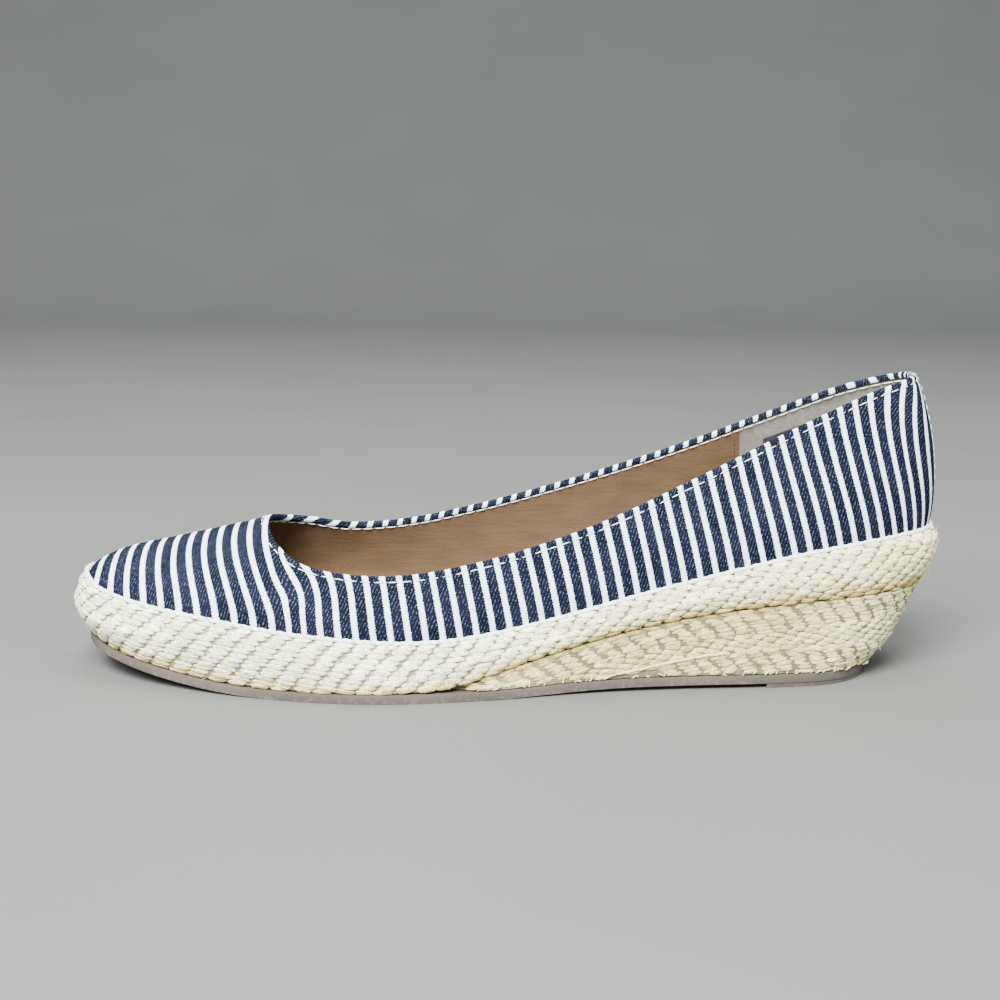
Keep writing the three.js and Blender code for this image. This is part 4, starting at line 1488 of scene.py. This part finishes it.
def make_selvedge(sheet, yarn, rng, looks):
    """Bright twisted yarn along the raised selvedge, on both sides."""
    template, faces = yarn
    rows = even_rows(40, LAST_ROW)
    yarns = []
    for side in (1, -1):
        for s in np.arange(SELVEDGE_FRONT, SELVEDGE_BACK, SELVEDGE_STEP):
            row = np.interp(s, foot_loop(rows)[:, 0], rows)
            a = float(sheet.edge(row if side > 0 else ROWS - row))
            downs = np.linspace(0, float(sheet.room(a)), 60)
            heights = sheet.point(np.full(len(downs), a), downs)[:, 2]
            w = float(np.interp(-selvedge_height(s), -heights, downs))
            slope = (selvedge_height(s + 1) - selvedge_height(s - 1)) / 2 - TAPE_CLIMB
            if w < downs[-1] - SELVEDGE_ROOM:
                yarns.append((a, w, side * slope))
    a, w, tilt = np.array(yarns).T
    n = len(a)
    moved = w + rng.normal(0, 0.08, n)
    widths = SELVEDGE_WIDTH * rng.normal(1, 0.12, n)
    tilts = tilt + rng.normal(0, 0.05, n)
    placed, uvs, _ = lay_yarns(sheet, template, a, moved, SELVEDGE_YARN, widths, SELVEDGE_LIFT, tilts,
                               SELVEDGE_BOW)
    placed = placed + lowered(sheet, a, w, SELVEDGE_RAISED)
    shades = yarn_shades(rng, n, age_and_shade=(0.5, 0.1), tone=(0.8, 0.15))
    piece = repeated_piece("selvedge_yarn", placed, faces, shades, uvs)
    finish_piece(piece, jute_finish("selvedge_jute", looks, 1.05, 0.1))


FRINGE_COUNT = 95
FRINGE_FRONT = 111  # from the toe
FRINGE_RISE = 0.35  # middles of the frayed ends above the wedge's foot
FRINGE_BOW = 0.2


def make_fringe(sheet, yarn, rng, looks):
    """Small frayed ends that hang from the wedge's foot over the rubber."""
    template, faces = yarn
    rows = even_rows(80)
    usable = rows[foot_loop(rows)[:, 0] > FRINGE_FRONT]
    a = sheet.edge(np.sort(rng.choice(usable, FRINGE_COUNT, replace=False)))
    n = len(a)
    w = sheet.room(a) - FRINGE_RISE + rng.normal(0, 0.2, n)
    lengths = 0.5 + np.abs(rng.normal(1.2, 0.5, n))
    widths = 0.12 + np.abs(rng.normal(0.36, 0.12, n))
    lifts = 0.08 + np.abs(rng.normal(0.36, 0.1, n))
    tilts = math.pi / 2 + rng.normal(0, 0.6, n)
    placed, uvs, _ = lay_yarns(sheet, template, a, w, lengths, widths, lifts, tilts, FRINGE_BOW)
    placed = placed + lowered(sheet, a, w - 1, 1.0) * rng.uniform(0.15, 0.5, n)[:, None, None]
    shades = yarn_shades(rng, n, age_and_shade=(0.8, 0.15), tone=(0.5, 0.25))
    piece = repeated_piece("wedge_fringe", placed, faces, shades, uvs)
    finish_piece(piece, jute_finish("frayed_jute", looks, 1.05, 0.1))


HAIRS, HAIR_STEPS, HAIR_SIDES = 260, 5, 3
HAIR_RADIUS, HAIR_TAPER = 0.055, 0.6
HAIR_CURL = 0.3  # a hair's reach along the cloth falls by this share towards its end
HAIR_INSET = 0.6  # hairs keep this far from the cloth's edges
HAIR_ROOT = 0.2  # and start this far out from its surface
HEEL_HAIRS, HEEL_SPREAD = 0.35, 16  # this share of them stands within about so many millimetres of the heel
HAIR_WEDGE_FRONT = 118  # none on the wedge nearer the toe


def tube_points(spine, radii, sides):
    """Rings of points round a line."""
    along = unit(np.gradient(spine, axis=0))
    first = unit(np.cross(along, [0.3, 0.5, 0.81]))
    second = np.cross(along, first)
    angles = (np.arange(sides) * 2 * math.pi / sides)[None, :, None]
    ring = (first[:, None] * np.cos(angles) + second[:, None] * np.sin(angles)) * radii[:, None, None]
    return (spine[:, None] + ring).reshape(-1, 3)


def tube_faces(steps, sides):
    """Faces of a closed tube with that many steps and sides."""
    quads = [
        (j * sides + i, j * sides + (i + 1) % sides, (j + 1) * sides + (i + 1) % sides, (j + 1) * sides + i)
        for j in range(steps) for i in range(sides)
    ]
    return quads + [tuple(range(sides))[::-1], tuple(steps * sides + i for i in range(sides))]


def make_fibres(looks):
    """Stray hairs that stand off the jute."""
    rng = np.random.default_rng(23)
    tape, wedge = Sheet(tape_profile), Sheet(wedge_profile)
    t = np.linspace(0, 1, HAIR_STEPS + 1)
    copies, tones = [], []
    for k in range(HAIRS):
        sheet = tape if k % 3 else wedge
        a = rng.uniform(0, sheet.length)
        if rng.random() < HEEL_HAIRS:
            a = float(sheet.edge(LAST_ROW)) + rng.normal(0, HEEL_SPREAD)
        room = float(sheet.room(a))
        w = rng.uniform(HAIR_INSET, max(room - HAIR_INSET, 0.8))
        if room < 2 or (sheet is wedge and sheet.point(a, w)[0] < HAIR_WEDGE_FRONT):
            continue
        reach, heading, run = rng.uniform(0.5, 1.5), rng.uniform(0, 2 * math.pi), rng.uniform(0.8, 2.2)
        forward = a + run * t * math.cos(heading) * (1 - HAIR_CURL * t)
        down = np.clip(w + run * t * math.sin(heading), 0.1, room)
        spine = sheet.point(forward, down, HAIR_ROOT + reach * t ** 1.6)
        copies.append(tube_points(spine, HAIR_RADIUS * (1 - HAIR_TAPER * t), HAIR_SIDES))
        tones.append(rng.uniform(0.5, 1))
    copies = np.array(copies)
    values = {"age_and_shade": np.full(len(copies), 0.35), "tone": np.array(tones)}
    piece = repeated_piece("stray_fibres", copies, tube_faces(HAIR_STEPS, HAIR_SIDES), values,
                           np.zeros(copies.shape[:2] + (2,)))
    finish_piece(piece, jute_finish("fibre_jute", looks, 1.05, 0.0))


SOCK_COLUMNS, SOCK_ROWS, SOCK_TOP_ROWS = 150, 44, 30  # rows go over the top and back underneath
SOCK_CROWN = 0.5  # the middle stands this much higher, but not in the heel seat
HEEL_SEAT = (190, 225)  # which starts between these two
SOCK_EDGE = 0.72  # share of the thickness that is left at the rim
SOCK_LOWERED = 0.4  # keeps the crowned sock inside its solid
SOCK_SIDE = 0.4  # share of the thickness at which the side turns under


def make_sock(looks):
    """The leather-covered insole, crowned a little and rounded at its rim."""
    outline = offset(foot_loop, -UPPER_WALL - GAP)

    def place(u, t):
        station = u * LAST_ROW
        k = np.round(t * SOCK_ROWS)
        bed = footbed(station) + GAP
        on_top = k <= SOCK_TOP_ROWS
        back = np.clip((k - SOCK_TOP_ROWS - 2) / (SOCK_ROWS - SOCK_TOP_ROWS - 4), 0, 1)
        share = np.where(on_top, k / SOCK_TOP_ROWS, 1 - back)
        plan = lerp(outline(station), outline(ROWS - station), share[..., None])
        rim = np.sqrt(np.clip(1 - (2 * share - 1) ** 8, 0, 1))
        crown = SOCK_CROWN * np.sin(math.pi * share) * (1 - smoothstep(plan[..., 0], *HEEL_SEAT))
        edge = SOCK_EDGE * INSOLE_THICKNESS - SOCK_LOWERED
        z = np.where(on_top, bed + edge + (1 - SOCK_EDGE) * INSOLE_THICKNESS * rim + crown, bed)
        z = np.where(k >= SOCK_ROWS - 1, bed + SOCK_SIDE * INSOLE_THICKNESS, z)
        z = np.where(k == SOCK_ROWS, bed + edge, z)
        return at_height(plan, z)

    piece = grid_piece("insole_sock", SOCK_COLUMNS, SOCK_ROWS, place)
    close_up(piece)
    shade(piece, 50)
    leather = leather_finish("insole_leather", looks.lining_colour, SOCK_WORN)
    finish_piece(piece, leather, ["insole"])


SOLE_BEVEL = 1.2
SOLE_FLAT = math.radians(0.4)  # faces that meet at less than this become one
SOLE_CORNER = math.radians(50)  # edges sharper than this are softened
WORN_RIM = (0.05, 0.5)  # height above the sole's underside over which the wear fades


def make_outsole(looks):
    """The rubber sole from the CAD outline, with softened edges and a worn lower rim."""
    deselect()
    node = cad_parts["outsole"]
    node.select_set(True)
    bpy.context.view_layer.objects.active = node
    bpy.ops.object.duplicate()
    piece = bpy.context.object
    piece.name = piece.data.name = "rubber_sole"
    piece.parent = None
    for key in list(piece.keys()):
        del piece[key]

    def merge():
        bpy.ops.mesh.remove_doubles(threshold=MERGE_DISTANCE)
        bpy.ops.mesh.dissolve_limited(angle_limit=SOLE_FLAT)
    edit(merge)
    add_modifier(piece, "BEVEL", width=SOLE_BEVEL * MM, segments=3, limit_method="ANGLE",
                 angle_limit=SOLE_CORNER)
    edit(lambda: bpy.ops.mesh.quads_convert_to_tris())
    s, _, z = ((read_points(piece.data) + SHIFT) / MM).T
    underside = np.where(s > TREAD_FRONT - 0.1, 0, ground(s))
    add_attribute(piece, "worn", 1 - smoothstep(z - underside, *WORN_RIM))
    shade(piece, 40)
    finish_piece(piece, rubber_finish(looks), ["outsole"])


TAB_ROW, TAB_BEHIND = 10.35, 2.0  # its middle on the inner side: a row, and millimetres from it
TAB_WIDTH, TAB_HEIGHT, TAB_DROP = 17, 5.0, 6.4
TAB_OFF = 0.25  # stands this far off the lining, and more at its free edge
TAB_THICKNESS = 0.3


def make_tab():
    """A small blank woven tab sewn under the fold on the inner wall."""
    wall = lining_sheet()
    middle = float(wall.edge(ROWS - TAB_ROW)) + TAB_BEHIND

    def place(u, t):
        sag = (0.35 + 0.25 * np.sin(u * 9)) * (1 - t)
        return wall.point(middle + (u - 0.5) * TAB_WIDTH, TAB_DROP + (1 - t) * TAB_HEIGHT, -TAB_OFF - sag)

    piece = grid_piece("size_tab", 24, 8, place)
    add_modifier(piece, "SOLIDIFY", thickness=TAB_THICKNESS * MM, offset=0.0)
    shade(piece, 50)
    finish_piece(piece, tab_finish())


# The stage, in metres.
FLOOR_WIDTH, FLOOR_LENGTH, FLOOR_FRONT = 8.0, 4.8, -1.6
FLOOR_BEND, FLOOR_BACK, FLOOR_RISE = 1.6, 2.4, 1.2  # it starts to rise, stands upright; how slowly it rises
SKY_COLOUR, SKY_STRENGTH = (0.93, 0.97, 1.0, 1), 1.3
CAMERA_PLACE = (-0.02768, -0.46462, 0.1297)
CAMERA_TURN = (-3.03, 9.82, 0.78)  # yaw, pitch and roll in degrees
CAMERA_LENS, CAMERA_SENSOR = 58.03, 36.0


def make_floor(looks):
    """Floor that bends up behind the shoe."""
    deselect()
    bpy.ops.mesh.primitive_grid_add(x_subdivisions=4, y_subdivisions=40, size=2)
    floor = bpy.context.object
    floor.name = "studio_floor"
    for vertex in floor.data.vertices:
        x, y = vertex.co.x * FLOOR_WIDTH / 2, (vertex.co.y + 1) * FLOOR_LENGTH / 2 + FLOOR_FRONT
        vertex.co = (x, min(y, FLOOR_BACK), max(y - FLOOR_BEND, 0) ** 2 / FLOOR_RISE)
    shade(floor, 80)
    floor.data.materials.append(floor_finish(looks))


def make_light(name, place, turn, size, watts):
    """A square soft light: place in metres, turn in degrees."""
    bpy.ops.object.light_add(type="AREA", location=place, rotation=[math.radians(d) for d in turn])
    lamp = bpy.context.object
    lamp.name = name
    lamp.data.energy = watts
    lamp.data.size = size


def make_camera():
    """Camera at the outer side, a little above the shoe."""
    yaw, pitch, roll = (math.radians(d) for d in CAMERA_TURN)
    right = np.array([math.cos(yaw), math.sin(yaw), 0])
    forward = np.array([-math.sin(yaw) * math.cos(pitch), math.cos(yaw) * math.cos(pitch), -math.sin(pitch)])
    up = np.cross(right, forward)
    basis = np.eye(4)
    basis[:3, 0] = right * math.cos(roll) + up * math.sin(roll)
    basis[:3, 1] = up * math.cos(roll) - right * math.sin(roll)
    basis[:3, 2] = -forward
    basis[:3, 3] = CAMERA_PLACE
    camera_data = bpy.data.cameras.new("view_camera")
    camera_data.lens = CAMERA_LENS
    camera_data.sensor_width = CAMERA_SENSOR
    camera = bpy.data.objects.new("view_camera", camera_data)
    bpy.context.scene.collection.objects.link(camera)
    camera.matrix_world = Matrix(basis.tolist())
    bpy.context.scene.camera = camera


def make_stage(looks):
    """Pale floor that rises behind, soft studio light, and the camera."""
    make_floor(looks)
    world = bpy.data.worlds.new("studio_sky")
    bpy.context.scene.world = world
    world.use_nodes = True
    sky = world.node_tree.nodes["Background"]
    sky.inputs["Color"].default_value = SKY_COLOUR
    sky.inputs["Strength"].default_value = SKY_STRENGTH
    make_light("key_light", place=(-0.35, -0.95, 1.05), turn=(42, -12, -8), size=0.8, watts=128)
    make_light("top_light", place=(0.1, 0.25, 1.4), turn=(-8, 0, 0), size=1.0, watts=25)
    make_camera()


# ---- Operators and panel -----------------------------------------------------------------------

class ESPADRILLE_OT_stage(bpy.types.Operator):
    """Pale floor, soft light and the camera"""
    bl_idname = "espadrille.stage"
    bl_label = "Stage"

    def execute(self, context):
        make_stage(context.scene.espadrille_looks)
        return {"FINISHED"}


class ESPADRILLE_OT_outsole(bpy.types.Operator):
    """Rubber sole with its worn rim"""
    bl_idname = "espadrille.outsole"
    bl_label = "Outsole"

    def execute(self, context):
        make_outsole(context.scene.espadrille_looks)
        return {"FINISHED"}


class ESPADRILLE_OT_wedge(bpy.types.Operator):
    """Herringbone jute over the wedge"""
    bl_idname = "espadrille.wedge"
    bl_label = "Wedge"

    def execute(self, context):
        make_wedge(context.scene.espadrille_sizes, context.scene.espadrille_looks)
        return {"FINISHED"}


class ESPADRILLE_OT_tape(bpy.types.Operator):
    """Woven jute tape round the foot"""
    bl_idname = "espadrille.tape"
    bl_label = "Tape"

    def execute(self, context):
        make_tape(context.scene.espadrille_sizes, context.scene.espadrille_looks)
        return {"FINISHED"}


class ESPADRILLE_OT_edge_cord(bpy.types.Operator):
    """White cord on the tape's edge"""
    bl_idname = "espadrille.edge_cord"
    bl_label = "Edge cord"

    def execute(self, context):
        make_edge_cord(context.scene.espadrille_sizes, context.scene.espadrille_looks)
        return {"FINISHED"}


class ESPADRILLE_OT_fibres(bpy.types.Operator):
    """Stray hairs of the jute"""
    bl_idname = "espadrille.fibres"
    bl_label = "Fibres"

    def execute(self, context):
        make_fibres(context.scene.espadrille_looks)
        return {"FINISHED"}


class ESPADRILLE_OT_sock(bpy.types.Operator):
    """Leather-covered insole"""
    bl_idname = "espadrille.sock"
    bl_label = "Sock"

    def execute(self, context):
        make_sock(context.scene.espadrille_looks)
        return {"FINISHED"}


class ESPADRILLE_OT_lining(bpy.types.Operator):
    """Leather lining and suede heel grip"""
    bl_idname = "espadrille.lining"
    bl_label = "Lining"

    def execute(self, context):
        make_lining(context.scene.espadrille_looks)
        return {"FINISHED"}


class ESPADRILLE_OT_canvas(bpy.types.Operator):
    """Striped canvas upper"""
    bl_idname = "espadrille.canvas"
    bl_label = "Canvas"

    def execute(self, context):
        make_canvas(context.scene.espadrille_sizes, context.scene.espadrille_looks)
        return {"FINISHED"}


class ESPADRILLE_OT_stitching(bpy.types.Operator):
    """White stitches of the upper and the stitches inside it"""
    bl_idname = "espadrille.stitching"
    bl_label = "Stitching"

    def execute(self, context):
        make_stitching(context.scene.espadrille_sizes, context.scene.espadrille_looks)
        make_inner_stitching(context.scene.espadrille_looks)
        return {"FINISHED"}


class ESPADRILLE_OT_tab(bpy.types.Operator):
    """Blank size tab"""
    bl_idname = "espadrille.tab"
    bl_label = "Tab"

    def execute(self, context):
        make_tab()
        return {"FINISHED"}


OPERATORS = [
    ESPADRILLE_OT_stage, ESPADRILLE_OT_outsole, ESPADRILLE_OT_wedge, ESPADRILLE_OT_tape,
    ESPADRILLE_OT_edge_cord, ESPADRILLE_OT_fibres, ESPADRILLE_OT_sock, ESPADRILLE_OT_lining,
    ESPADRILLE_OT_canvas, ESPADRILLE_OT_stitching, ESPADRILLE_OT_tab,
]


class ESPADRILLE_PT_pieces(bpy.types.Panel):
    """Lists the pieces of the espadrille."""
    bl_label = "Espadrille"
    bl_space_type = "VIEW_3D"
    bl_region_type = "UI"
    bl_category = "Espadrille"

    def draw(self, context):
        for operator in OPERATORS:
            self.layout.operator(operator.bl_idname)
        for group in (context.scene.espadrille_sizes, context.scene.espadrille_looks):
            box = self.layout.box()
            for name in group.__annotations__:
                box.prop(group, name)


CLASSES = [EspadrilleSizes, EspadrilleLooks, *OPERATORS, ESPADRILLE_PT_pieces]


def register():
    for item in CLASSES:
        bpy.utils.register_class(item)
    bpy.types.Scene.espadrille_sizes = bpy.props.PointerProperty(type=EspadrilleSizes)
    bpy.types.Scene.espadrille_looks = bpy.props.PointerProperty(type=EspadrilleLooks)


def unregister():
    del bpy.types.Scene.espadrille_sizes
    del bpy.types.Scene.espadrille_looks
    for item in reversed(CLASSES):
        bpy.utils.unregister_class(item)


def main():
    register()
    bpy.ops.object.select_all(action="DESELECT")
    for operator in OPERATORS:
        make = getattr(bpy.ops.espadrille, operator.bl_idname.split(".")[1])
        if make() != {"FINISHED"}:
            raise RuntimeError(operator.bl_label + " was not finished")


if __name__ == "__main__":
    main()
